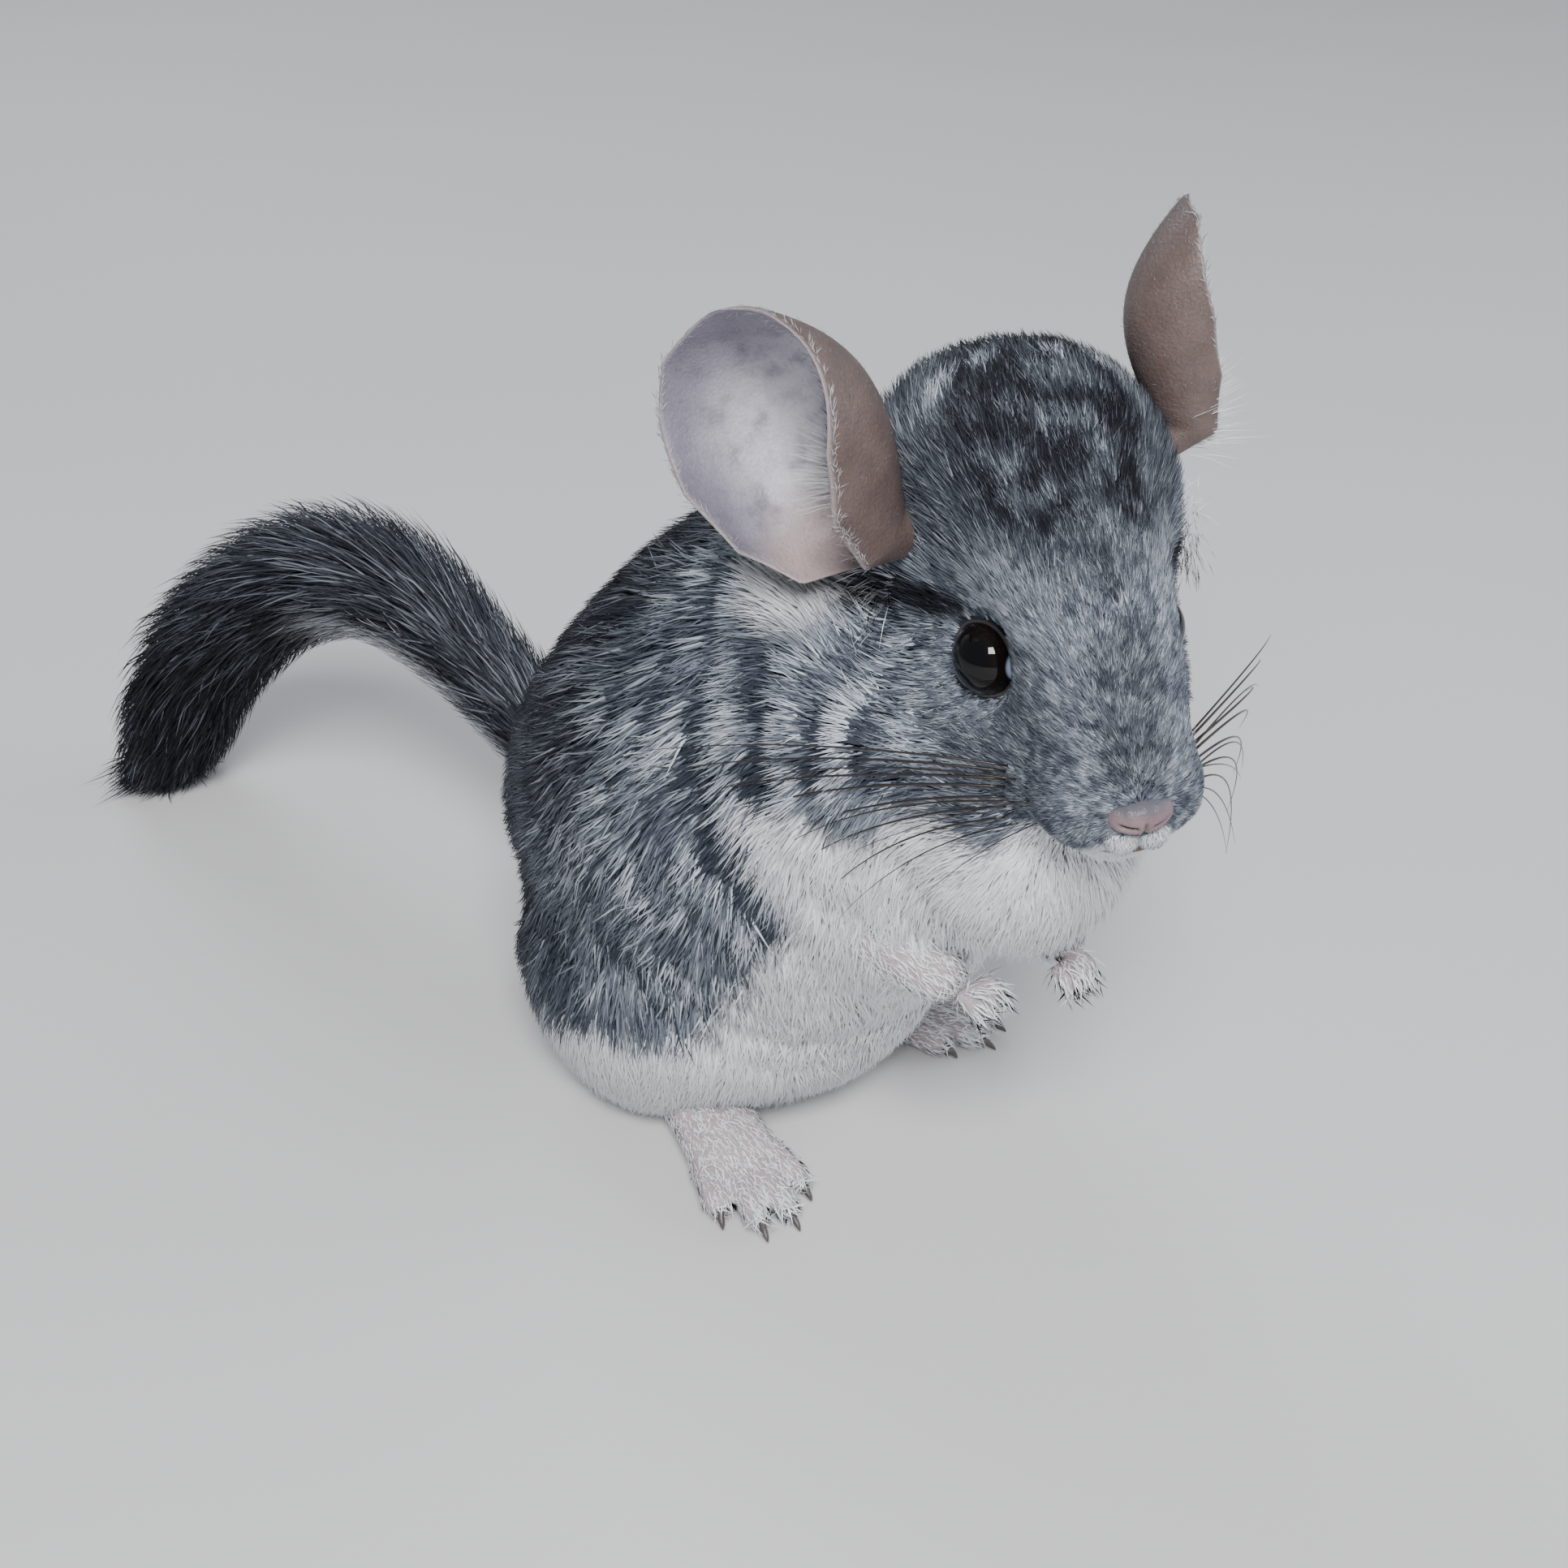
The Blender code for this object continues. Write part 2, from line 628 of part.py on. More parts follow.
def build_foreleg(name, rows, side):
    """A foreleg with its paw closed in a fist below the chest."""
    pieces = [grid_object("arm", sweep(rows, 16, 14, (0.1, 0.12)))]
    palm = np.array(rows[-1][:3])
    for offset in FINGERS:
        knuckle = palm + (offset, -1.5, 0.6)
        finger = [
            (*knuckle, 1.35, 1.3, 1.3),
            (*(knuckle + (0, -3.2, -0.8)), 1.25, 1.2, 1.2),
            (*(knuckle + (0.15 * offset, -4.2, -3.6)), 1.0, 1.0, 1.0),
        ]
        pieces.append(grid_object("finger", sweep(finger, 8, 8, (0.15, 0.2), up=(0.0, -1.0, 0.2))))
    return joined(name, pieces)


def tail_point(share, angle, depth):
    """A point of the tail at a share of its length, an angle round it and a share of the hair's depth."""
    row, ahead = by_length(TAIL, np.atleast_1d(np.clip(share, 0, 1)))
    side = unit(np.cross(ahead, UP))
    above = np.cross(side, ahead)
    high = np.where(np.sin(angle) >= 0, row[:, 4], row[:, 5])
    out = row[:, 3:4] * np.cos(angle) * side + (high * np.sin(angle))[:, None] * above
    return (row[:, :3] + depth * out)[0]


def build_lock(share, angle, length, swing):
    """One flat lock of hair: a diamond section carried out along the hair's lie, and tapered to a point."""
    shares = [(share + along * length, angle + swing * along, depth) for along, depth, _, _ in LOCK]
    line = np.array([tail_point(*place) for place in shares])
    across = unit(tail_point(share, angle + 0.2, 1) - tail_point(share, angle - 0.2, 1))
    points = []
    for place, ahead, (_, _, wide, thick) in zip(line[:-1], np.diff(line, axis=0), LOCK):
        beside = unit(across - (across @ unit(ahead)) * unit(ahead))
        above = np.cross(beside, unit(ahead))
        points += [place + wide * beside, place + thick * above, place - wide * beside, place - thick * above]
    faces = [(3, 2, 1, 0)]
    for ring in range(len(LOCK) - 2):
        for spoke in range(4):
            a, b = 4 * ring + spoke, 4 * ring + (spoke + 1) % 4
            faces.append((a, b, b + 4, a + 4))
    last = len(points) - 4
    faces += [(last + spoke, last + (spoke + 1) % 4, len(points)) for spoke in range(4)]
    return mesh_object("lock", [*points, line[-1]], faces)


def build_locks(shares, chance):
    """The locks that start at the given shares of the tail's length, in staggered rows round it."""
    length = LOCK_LENGTH / sum(np.linalg.norm(np.diff(smooth_rows(TAIL, 400)[:, :3], axis=0), axis=1))
    locks = []
    for row, share in enumerate(shares):
        for place in range(LOCKS_IN_ROW):
            angle = 2 * np.pi * (place + 0.5 * (row % 2) + chance.uniform(-0.15, 0.15)) / LOCKS_IN_ROW
            start = share + chance.uniform(-0.012, 0.012)
            swing = chance.uniform(-0.25, 0.25)
            locks.append(build_lock(start, angle, length * chance.uniform(0.85, 1.1), swing))
    return locks


def build_tail():
    """The tail in three lengths, each a core with its locks, which lie over the next length's."""
    core = [(*row[:3], *(TAIL_CORE * size for size in row[3:])) for row in TAIL]
    whole = grid_object("core", sweep(core, 26, 10, (0.05, 0.08)))
    places, ahead = by_length(TAIL, np.array(TAIL_CUTS))
    chance = np.random.default_rng(LOCK_SEED)
    lengths = []
    for number, (name, shares) in enumerate(LOCK_ROWS.items()):
        length = copied(whole, name)
        if number > 0:
            keep_side(length, places[number - 1, :3] + GAP / 2 * ahead[number - 1], ahead[number - 1])
        if number < len(TAIL_CUTS):
            keep_side(length, places[number, :3] - GAP / 2 * ahead[number], -ahead[number])
        length = joined(name, [length, *build_locks(shares, chance)], "MANIFOLD")
        for before in lengths:
            over = copied(before, "over", GAP)
            boolean(length, over, "DIFFERENCE", "MANIFOLD")
            removed(over)
        lengths.append(largest_surface(length))
    keep_side(lengths[-1], (0, 0, 0), UP)
    removed(whole)
    return [largest_surface(length) for length in lengths]


def head_plane():
    """The cut between head and neck: a point on it and its normal towards the head."""
    normal = unit(np.array([0.71, 0.0, 0.71])) @ HEAD_AXES
    return from_head((-18, 0, -6)), normal


HEAD_PLANE = head_plane()
NECK_PLANE = (np.array([-3.0, -28.0, 100.0]), unit(np.array([-0.1, -0.72, 0.69])))


def paint(obj, colour, roughness=0.8):
    """Gives the object its own Principled material."""
    material = bpy.data.materials.new(obj.name)
    material.use_nodes = True
    shader = material.node_tree.nodes["Principled BSDF"]
    shader.inputs["Base Color"].default_value = (*COLOURS[colour], 1)
    shader.inputs["Roughness"].default_value = roughness
    obj.data.materials.clear()
    obj.data.materials.append(material)
    obj.data.shade_smooth()
    obj.data.set_sharp_from_angle(angle=math.radians(50))


def build_body(grids, feet):
    """Neck, torso and hind legs from one coarse skin."""
    body = thinned(fused("body", grids, BODY_CELL, 12), BODY_FACES)
    keep_side(body, (0, 0, 0), UP)
    point, normal = HEAD_PLANE
    keep_side(body, point - GAP / 2 * normal, -normal)
    neck = copied(body, "neck")
    point, normal = NECK_PLANE
    keep_side(neck, point + GAP / 2 * normal, normal)
    keep_side(body, point - GAP / 2 * normal, -normal)
    for foot in feet:
        boolean(body, foot, "DIFFERENCE")
    legs = []
    for name, side in SIDES.items():
        (x, y, z), radii = THIGH
        middle = (x * side - 1 + 9 * side, y, z)
        leg = copied(body, "hind_leg_" + name)
        sizes = np.array(radii) + (3, 2, 3)
        inside = grid_object("inside", ball(middle, sizes, rings=16, spokes=24))
        outside = grid_object("outside", ball(middle, sizes + GAP, rings=16, spokes=24))
        boolean(leg, inside, "INTERSECT")
        boolean(body, outside, "DIFFERENCE")
        removed(inside, outside)
        legs.append(largest_surface(leg))
    body.name = "torso"
    return largest_surface(neck), largest_surface(body), legs


def build():
    """Models every part, then sets the whole with the middle of its box over the world's origin."""
    for obj in list(bpy.data.objects):
        bpy.data.objects.remove(obj)
    grids = body_grids()
    head = build_head(grids)
    cutters = [joined("cutter", [grid_object("piece", grid) for grid in foot_grids(name, GAP)]) for name in SIDES]
    neck, torso, legs = build_body(grids, cutters)
    removed(*cutters)
    painted = [(head, "coat"), (neck, "coat"), (torso, "coat"), *((leg, "coat") for leg in legs)]
    solid = [copied(piece, "grown", GAP) for piece in (torso, neck)]
    for name, side in SIDES.items():
        foreleg = build_foreleg("foreleg_" + name, FORELEGS[name], side)
        for piece in solid:
            boolean(foreleg, piece, "DIFFERENCE")
        painted.append((largest_surface(foreleg), "paw"))
        painted.append((build_foot("hind_foot_" + name, name), "foot"))
        painted.append((build_eye("eye_" + name, side), "eye"))
        painted.append((build_ear("ear_" + name, side, head, EARS[name]), "ear"))
    tail = build_tail()
    boolean(tail[0], solid[0], "DIFFERENCE")
    largest_surface(tail[0])
    painted += [(length, "tail") for length in tail]
    removed(*solid)
    root = bpy.data.objects.new("chinchilla", None)
    bpy.context.scene.collection.objects.link(root)
    root.location = (-BOX_MIDDLE[0] * MM, -BOX_MIDDLE[1] * MM, 0)
    for obj, colour in painted:
        paint(obj, colour, 0.1 if colour == "eye" else 0.85)
        obj.parent = root


build()
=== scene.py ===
"""A chinchilla's skin, coat, ears, eyes, nose, claws and whiskers over its solids, on a pale studio floor.

Tables are in millimetres in the animal's own frame: it faces -Y, its left side is +X and the floor is z = 0.
Shapes are worked out there, and mesh_object sets them down in metres about the world's origin.
The skin and the coat take their colours from the same formulas, which are worked out at each tuft's place.
"""

import math

import bpy
import numpy as np
from mathutils import Matrix


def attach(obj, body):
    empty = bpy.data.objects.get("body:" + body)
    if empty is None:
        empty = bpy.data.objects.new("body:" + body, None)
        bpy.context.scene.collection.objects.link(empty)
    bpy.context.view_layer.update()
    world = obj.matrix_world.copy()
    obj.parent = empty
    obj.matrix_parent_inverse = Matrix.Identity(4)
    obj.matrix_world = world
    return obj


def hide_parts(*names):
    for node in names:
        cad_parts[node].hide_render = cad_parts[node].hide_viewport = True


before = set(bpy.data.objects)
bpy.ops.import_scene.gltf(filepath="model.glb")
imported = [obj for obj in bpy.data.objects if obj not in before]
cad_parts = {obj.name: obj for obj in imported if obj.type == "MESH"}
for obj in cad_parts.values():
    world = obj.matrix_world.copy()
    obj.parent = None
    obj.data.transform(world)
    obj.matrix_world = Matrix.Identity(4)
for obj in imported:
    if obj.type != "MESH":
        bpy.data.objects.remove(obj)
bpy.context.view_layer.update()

MM = 0.001
BOX_MIDDLE = np.array([-0.5, 47.2, 0.0])
UP = np.array([0.0, 0.0, 1.0])
SIDES = {"right": -1, "left": 1}

# Head frame: its middle between the eyes, turned to the animal's right, dropped and tilted.
HEAD_AT = np.array([-6.6, -62.2, 115.2])
HEAD_TURN = math.radians(33.8)
HEAD_DROP = math.radians(3.5)
HEAD_TILT = math.radians(4.8)

# Eyes: radius, then middle and the way they look in the head frame, mirrored for the right eye.
EYE_RADIUS = 5.6
EYE_AT = (-1.7, 12.0, -1.8)
EYE_LOOKS = (0.58, 1.0, 0.28)
# How far out from an eye's middle the skin round it stands, and how wide the lids and the orbit reach.
SKIN_AT_EYE = 1.3
LID_RADIUS = 6.3
ORBIT_RADIUS = 12.0

# Ears: how far they run on below the base, how far they turn in there, and the cup's radii and half arcs.
ROOT_DEPTH = 0.3
ROOT_INSET = 9.0
EAR_HEIGHTS = (0, 0.25, 0.5, 0.75, 0.92, 1)
EAR_RADII = (9.3, 14.2, 17.2, 19.5, 20.1, 20.3)
EAR_ARCS = (131, 131, 108, 70, 42, 3)
EARS = {
    "right": dict(base=(-22.8, -22.2, 14.6), tip=(-28.4, -43.6, 46.1), facing=35, wide=1.0, bow=8.5),
    "left": dict(base=(-25.2, 22.3, 18.5), tip=(-34.0, 29.0, 50.2), facing=12, wide=0.52, bow=7.0),
}
EAR_THICK = 0.9

# Rows: x, y, z, half width, half height on the back's side, half height on the belly's side.
TORSO = (
    (0, 44, 40, 22, 20, 26),
    (0, 34, 46, 36, 31, 40),
    (0, 17, 57, 44, 40, 50),
    (-1, -3, 70, 44, 45, 50),
    (-2, -19, 83, 39, 44, 41),
    (-3, -32, 96, 34, 38, 34),
    (-4, -42, 106, 29, 32, 30),
)
# Rounded forms of the trunk: middle and radii. THIGH is made on both sides.
BELLY = ((-1, 6, 32), (42, 36, 33.8))
THIGH = ((23, 13, 30), (20, 29, 31.6))
BIB = ((-4.5, -56.5, 80), (23, 17, 21.5))
CHEST = ((-7, -38, 68), (24, 18, 26))

# Rows in the head frame: forward, up, half width, half height above, half height below.
HEAD = (
    (30, -14, 3.5, 5, 3),
    (28, -14, 7.2, 8.5, 6.5),
    (23, -12, 9.8, 12, 11.5),
    (15, -8, 11.8, 17.5, 15.5),
    (5, -2, 13.8, 24, 19.5),
    (-6, 2, 17.2, 29, 25),
    (-18, 4, 24.5, 31, 29),
    (-30, 4, 27, 30, 29),
    (-43, 2, 25, 26, 26),
)
JOWLS = (
    (27, -15, 7, 6, 6),
    (20, -15, 11, 9, 8.5),
    (10, -14, 15.5, 11, 10.5),
    (0, -13, 19, 13, 12),
    (-10, -12, 22, 15, 14),
    (-22, -12, 24.5, 18, 16),
    (-36, -12, 25, 20, 18),
)
# Rows in the head frame: middle (forward, left, up) and radii (forward, left, up), made on both sides.
HEAD_PADS = {
    "whisker_pad": ((20, 5.8, -13.5), (9, 7.3, 7.6)),
    "nape": ((-27, 12, -9), (16, 14, 19)),
}
CHIN = ((18, 0, -20), (8, 7.5, 7))
NOSE = ((28.6, 0, -12.2), (2.6, 4.6, 3.2))
LOBE = ((27.3, 2.2, -15.9), (2.1, 2.3, 2.2))
LOBE_TUFTS = 2200

# Rows in the frame of a foot: forward, outward, up, half width, half height above, half height below.
SOLE = (
    (-4, 0, 7, 4, 5, 7.4),
    (6, 0, 7, 6, 6, 7.4),
    (20, 0, 6.4, 6.4, 5, 6.8),
    (34, 0, 5, 7.6, 4.2, 5.4),
    (44, 0, 4, 8.2, 3.2, 4.4),
)
# A hind toe: outward offset, where it starts, its length and its spread in degrees.
HIND_TOES = ((-6.4, 41, 8, -10), (-2.2, 43, 11, -3), (2.2, 43, 11, 4), (6.4, 40, 8.5, 12))
FOOT_TURN = math.radians(20)
HEELS = {"right": (-17.2, 20.5), "left": (11.2, 27.5)}
FOOT_LENGTH = 56.0

# Rows: x, y, z, half width, half height above, half height below. The last row is the paw's middle.
FORELEGS = {
    "right": (
        (-22, -24, 74, 9, 9, 10),
        (-21.5, -36, 63, 7, 7, 8),
        (-19.5, -46, 57, 5.4, 5.2, 5.4),
        (-17, -53, 54, 4.8, 4, 3.8),
    ),
    "left": (
        (16, -30, 74, 9, 9, 10),
        (11, -45, 63, 7, 7, 8),
        (5.5, -53.5, 56, 5.4, 5.2, 5.4),
        (1, -58, 52, 4.8, 4, 3.8),
    ),
}
FINGERS = (-3.0, -1.0, 1.0, 3.0)

# Rows: x, y, z, half width, half height above, half height below, out to the tips of the hair.
TAIL = (
    (0, 40, 34, 8, 8, 8),
    (0, 62, 41, 9, 9, 8),
    (-2, 84, 55, 10, 12, 9),
    (-6, 108, 65, 12, 15, 11),
    (-11, 132, 58, 15, 15, 13),
    (-17, 154, 39, 17, 14, 14),
    (-21, 169, 13, 14, 11, 12),
    (-22, 175, -1, 9, 8, 6),
)
# The core's share of the tail's thickness, and the length by which hair past the tail's end is placed.
TAIL_CORE = 0.42
TAIL_LENGTH = 190

# Cells that fuse the forms of body and paws, the passes that smooth them, and a pass's strength on the head.
BODY_CELL = 1.25
PAW_CELL = 0.6
BODY_PASSES = 69
HEAD_EVENNESS = 0.48
PAW_PASSES = 6

# Tufts on head and body, on the tail, on the four paws and as down on each ear, the most triangles in a
# piece, and the share of its map's side that a tuft takes up.
BODY_TUFTS = 185000
TAIL_TUFTS = 16000
PAW_TUFTS = 14000
EAR_DOWN = 4000
MOST_TRIANGLES = 198000
PATCH = 0.003
# The places of a tuft's three sides round its line.
TUFT_CORNERS = np.radians([90, 210, 330])[:, None]
# How much a tuft is shaded like the skin under it, so that the coat looks soft.
SOFTNESS = 0.72

# The way hair lies on the trunk: back along it, and down. BELLY_WAY points from its axis to the belly.
TRUNK_MIDDLE = np.array([-1.5, 0.0, 72.0])
BACKWARD = np.array([0.0, 0.79, -0.61])
BELLY_WAY = np.array([0.0, -0.61, -0.79])
# The place in the head frame that the head's hair grows away from.
WHORL = np.array([36.0, 0.0, -10.0])

# Camera: its azimuth, its angle above the horizon and its place, as the photograph's.
CAMERA_AZIMUTH = math.radians(-46.7)
CAMERA_HEIGHT = math.radians(31.3)
CAMERA_AT = np.array([-246.8, -231.0, 267.0])
# The sensor's width in mm, and the photograph's focal length and width in pixels.
SENSOR = 36.0
FOCAL_PIXELS = 2779
PHOTO_PIXELS = 1932


def unit(vectors):
    """Vectors of length one along the given ones."""
    return vectors / np.maximum(np.linalg.norm(vectors, axis=-1, keepdims=True), 1e-12)


def across_of(vectors, normals):
    """What is left of the vectors when their part along the normals is taken away."""
    return vectors - (vectors * normals).sum(-1, keepdims=True) * normals


def smooth_step(value, start, end):
    """0 before start, 1 after end, and 3s^2 - 2s^3 between them."""
    share = np.clip((value - start) / (end - start), 0, 1)
    return share * share * (3 - 2 * share)


def mix(first, second, share):
    """The first value where share is 0 and the second where it is 1."""
    return first + (second - first) * share


def head_axes():
    """Rows are the head's forward, left and up directions."""
    turn, drop, tilt = HEAD_TURN, HEAD_DROP, HEAD_TILT
    forward = np.array([-math.sin(turn) * math.cos(drop), -math.cos(turn) * math.cos(drop), -math.sin(drop)])
    level = np.array([math.cos(turn), -math.sin(turn), 0.0])
    above = np.cross(forward, level)
    left = level * math.cos(tilt) + above * math.sin(tilt)
    return np.stack([forward, left, np.cross(forward, left)])


HEAD_AXES = head_axes()


def from_head(points):
    """Places in the animal's frame of points given as forward, left and up in the head frame."""
    return HEAD_AT + np.asarray(points, float) @ HEAD_AXES


def to_head(points):
    """Forward, left and up in the head frame of places in the animal's frame."""
    return (points - HEAD_AT) @ HEAD_AXES.T


def smooth_rows(rows, count):
    """Catmull-Rom curve through the control rows, read at count evenly spaced places."""
    rows = np.asarray(rows, float)
    place = np.linspace(0, len(rows) - 1, count)
    first = np.clip(place.astype(int), 0, len(rows) - 2)
    t = (place - first)[:, None]
    padded = np.vstack([2 * rows[0] - rows[1], rows, 2 * rows[-1] - rows[-2]])
    a, b, c, d = (padded[first + step] for step in range(4))
    return 0.5 * (2 * b + (c - a) * t + (2 * a - 5 * b + 4 * c - d) * t**2 + (3 * b - a - 3 * c + d) * t**3)


def by_length(rows, places):
    """The rows of a smooth curve at the given shares of its length, and its direction there."""
    curve = smooth_rows(rows, 400)
    steps = np.linalg.norm(np.diff(curve[:, :3], axis=0), axis=1)
    along = np.concatenate([[0.0], np.cumsum(steps)])
    along /= along[-1]
    row = np.stack([np.interp(places, along, column) for column in curve.T], axis=-1)
    bends = np.gradient(curve[:, :3], along, axis=0)
    ahead = unit(np.stack([np.interp(places, along, column) for column in bends.T], axis=-1))
    return row, ahead


def sweep(rows, rings=24, spokes=20, caps=(0.1, 0.1), up=UP, squareness=2.0):
    """Grid of points (ring, spoke) of a form swept along a smooth axis, round at both ends.

    Ring t is its centre + width cos(a)^(2/q) side + height sin(a)^(2/q) up, where the height differs above
    and below, and within the caps both sizes fall as sqrt(1 - s^2).
    """
    turn = np.linspace(0, 1, rings)
    first, last = caps
    t = np.where(turn < first, first * (1 - np.cos(np.pi / 2 * turn / first)), turn)
    t = np.where(turn > 1 - last, 1 - last * (1 - np.cos(np.pi / 2 * (1 - turn) / last)), t)
    row, ahead = by_length(rows, t)
    side = unit(np.cross(ahead, up))
    above = np.cross(side, ahead)
    inside = np.maximum(np.maximum((first - t) / first, (t - 1 + last) / last), 0)
    size = np.sqrt(np.maximum(1 - inside**2, 0))
    angle = np.linspace(0, 2 * np.pi, spokes, endpoint=False)
    across = np.sign(np.cos(angle)) * np.abs(np.cos(angle)) ** (2 / squareness)
    upward = np.sign(np.sin(angle)) * np.abs(np.sin(angle)) ** (2 / squareness)
    width = (row[:, 3] * size)[:, None] * across
    height = np.where(upward >= 0, (row[:, 4] * size)[:, None], (row[:, 5] * size)[:, None]) * upward
    return row[:, None, :3] + width[..., None] * side[:, None] + height[..., None] * above[:, None]


def ball(middle, radii, axes=np.eye(3), rings=24, spokes=36):
    """Grid of points of an ellipsoid whose radii lie along the rows of axes."""
    tilt = np.linspace(0, np.pi, rings)[:, None]
    angle = np.linspace(0, 2 * np.pi, spokes, endpoint=False)
    level = np.sin(tilt)
    rows = np.stack([level * np.cos(angle), level * np.sin(angle), np.cos(tilt) + 0 * angle], -1)
    return np.asarray(middle, float) + (rows * np.asarray(radii, float)) @ axes


def head_ball(middle, radii, side=1):
    """Ellipsoid in the head frame, mirrored to the right side where side is -1."""
    forward, left, up = middle
    return ball(from_head((forward, left * side, up)), radii, HEAD_AXES)


# How many random values noise draws on, a power of two, and large primes that spread the lattice over them.
CLOUD_VALUES = 8192
CLOUD_STEPS = np.array([73856093, 19349663, 83492791])


def cloud(points, size, seed):
    """Smooth noise from -1 to 1: random values on a lattice of cells of that size, blended by 3s^2 - 2s^3."""
    values = np.random.default_rng(seed).uniform(-1, 1, CLOUD_VALUES)
    place = points / size
    base = np.floor(place).astype(np.int64)
    share = place - base
    share = share * share * (3 - 2 * share)
    total = np.zeros(len(points))
    for corner in np.ndindex(2, 2, 2):
        node = base + np.array(corner)
        number = (node @ CLOUD_STEPS) & (CLOUD_VALUES - 1)
        total += values[number] * np.where(corner, share, 1 - share).prod(axis=1)
    return total


def slope(field, points, step=0.3):
    """Gradient of a field of places, from differences over a small step along each axis."""
    here = field(points)
    return np.stack([(field(points + step * axis) - here) / step for axis in np.eye(3)], -1)


def closed_grid(grid):
    """Points and triangles of a grid whose first and last rings shrink to single points."""
    rings, spokes = grid.shape[:2]
    ends = grid[[0, -1]].mean(axis=1)
    points = np.concatenate([ends[:1], grid[1:-1].reshape(-1, 3), ends[1:]])
    number = 1 + np.arange((rings - 2) * spokes).reshape(rings - 2, spokes)
    beside = np.roll(number, -1, axis=1)
    first, last = np.zeros(spokes, int), np.full(spokes, len(points) - 1)
    faces = [
        np.stack([number[:-1], beside[:-1], beside[1:]], -1).reshape(-1, 3),
        np.stack([number[:-1], beside[1:], number[1:]], -1).reshape(-1, 3),
        np.stack([first, beside[0], number[0]], -1),
        np.stack([last, number[-1], beside[-1]], -1),
    ]
    return outward(points, np.concatenate(faces))


def outward(points, faces):
    """The same triangles, turned round if the shape they close is inside out."""
    a, b, c = (points[faces[:, corner]] for corner in range(3))
    volume = (a * np.cross(b, c)).sum()
    return points, faces if volume > 0 else faces[:, ::-1]


def merged(parts):
    """Points and triangles of many shapes as those of one."""
    starts = np.cumsum([0] + [len(points) for points, _ in parts[:-1]])
    points = np.concatenate([points for points, _ in parts])
    return points, np.concatenate([faces + start for (_, faces), start in zip(parts, starts)])


def mesh_object(name, points, faces, smooth=True):
    """Object at the world's origin with the given triangles. The points are in millimetres."""
    mesh = bpy.data.meshes.new(name)
    mesh.vertices.add(len(points))
    mesh.vertices.foreach_set("co", ((points - BOX_MIDDLE) * MM).astype(np.float32).ravel())
    mesh.loops.add(3 * len(faces))
    mesh.loops.foreach_set("vertex_index", np.ascontiguousarray(faces, np.int32).ravel())
    mesh.polygons.add(len(faces))
    mesh.polygons.foreach_set("loop_start", np.arange(0, 3 * len(faces), 3, dtype=np.int32))
    mesh.update(calc_edges=True)
    if smooth:
        mesh.shade_smooth()
    obj = bpy.data.objects.new(name, mesh)
    bpy.context.scene.collection.objects.link(obj)
    return obj


def set_vectors(obj, name, values):
    """Keeps three numbers for each point of the object's mesh, for its material to read."""
    layer = obj.data.attributes.new(name, "FLOAT_VECTOR", "POINT")
    layer.data.foreach_set("vector", np.ascontiguousarray(values, np.float32).ravel())


def read(items, name, width, kind=np.float32):
    """An array of one property of all the mesh's items."""
    values = np.empty(len(items) * width, kind)
    items.foreach_get(name, values)
    return values.reshape(-1, width)


def fused(grids, cell):
    """Points, edges and triangles of one closed surface round all the grids, on cells of the given size."""
    forms = mesh_object("forms", *merged([closed_grid(grid) for grid in grids]))
    remesh = forms.modifiers.new("fuse", "REMESH")
    remesh.mode = "VOXEL"
    remesh.voxel_size = cell * MM
    mesh = forms.evaluated_get(bpy.context.evaluated_depsgraph_get()).to_mesh()
    mesh.calc_loop_triangles()
    points = read(mesh.vertices, "co", 3).astype(float) / MM + BOX_MIDDLE
    edges = read(mesh.edges, "vertices", 2, np.int32)
    faces = read(mesh.loop_triangles, "vertices", 3, np.int32)
    bpy.data.objects.remove(forms)
    return points, edges, faces


def evened(values, edges, passes, share):
    """Each pass moves every point's values the given share of the way to its neighbours' mean."""
    ends = np.concatenate([edges, edges[:, ::-1]])
    degree = np.maximum(np.bincount(ends[:, 0], minlength=len(values)), 1)[:, None]
    share = np.broadcast_to(np.asarray(share, float).reshape(-1, 1), (len(values), 1))
    for _ in range(passes):
        columns = [np.bincount(ends[:, 0], column[ends[:, 1]], len(values)) for column in values.T]
        values = values + share * (np.stack(columns, -1) / degree - values)
    return values


def normals_of(points, faces, edges, passes):
    """Normal at each point: the sum of its faces' normals by area, evened over its neighbours."""
    a, b, c = (points[faces[:, corner]] for corner in range(3))
    normal = np.cross(b - a, c - a)
    columns = [sum(np.bincount(ends, part, len(points)) for ends in faces.T) for part in normal.T]
    return unit(evened(unit(np.stack(columns, -1)), edges, passes, 0.5))


def eye_axis(side):
    """The direction in which the eye on that side looks."""
    forward, left, up = EYE_LOOKS
    return unit(np.array([forward, left * side, up])) @ HEAD_AXES


def eye_middle(side):
    """The middle of the eye on that side."""
    forward, left, up = EYE_AT
    return from_head((forward, left * side, up))


def about_eye(points, side):
    """How far points lie out along the eye's axis, how far from it, and the way out from it."""
    away = points - eye_middle(side)
    out = away @ eye_axis(side)
    spread = away - out[:, None] * eye_axis(side)
    return out, np.linalg.norm(spread, axis=1), unit(spread)


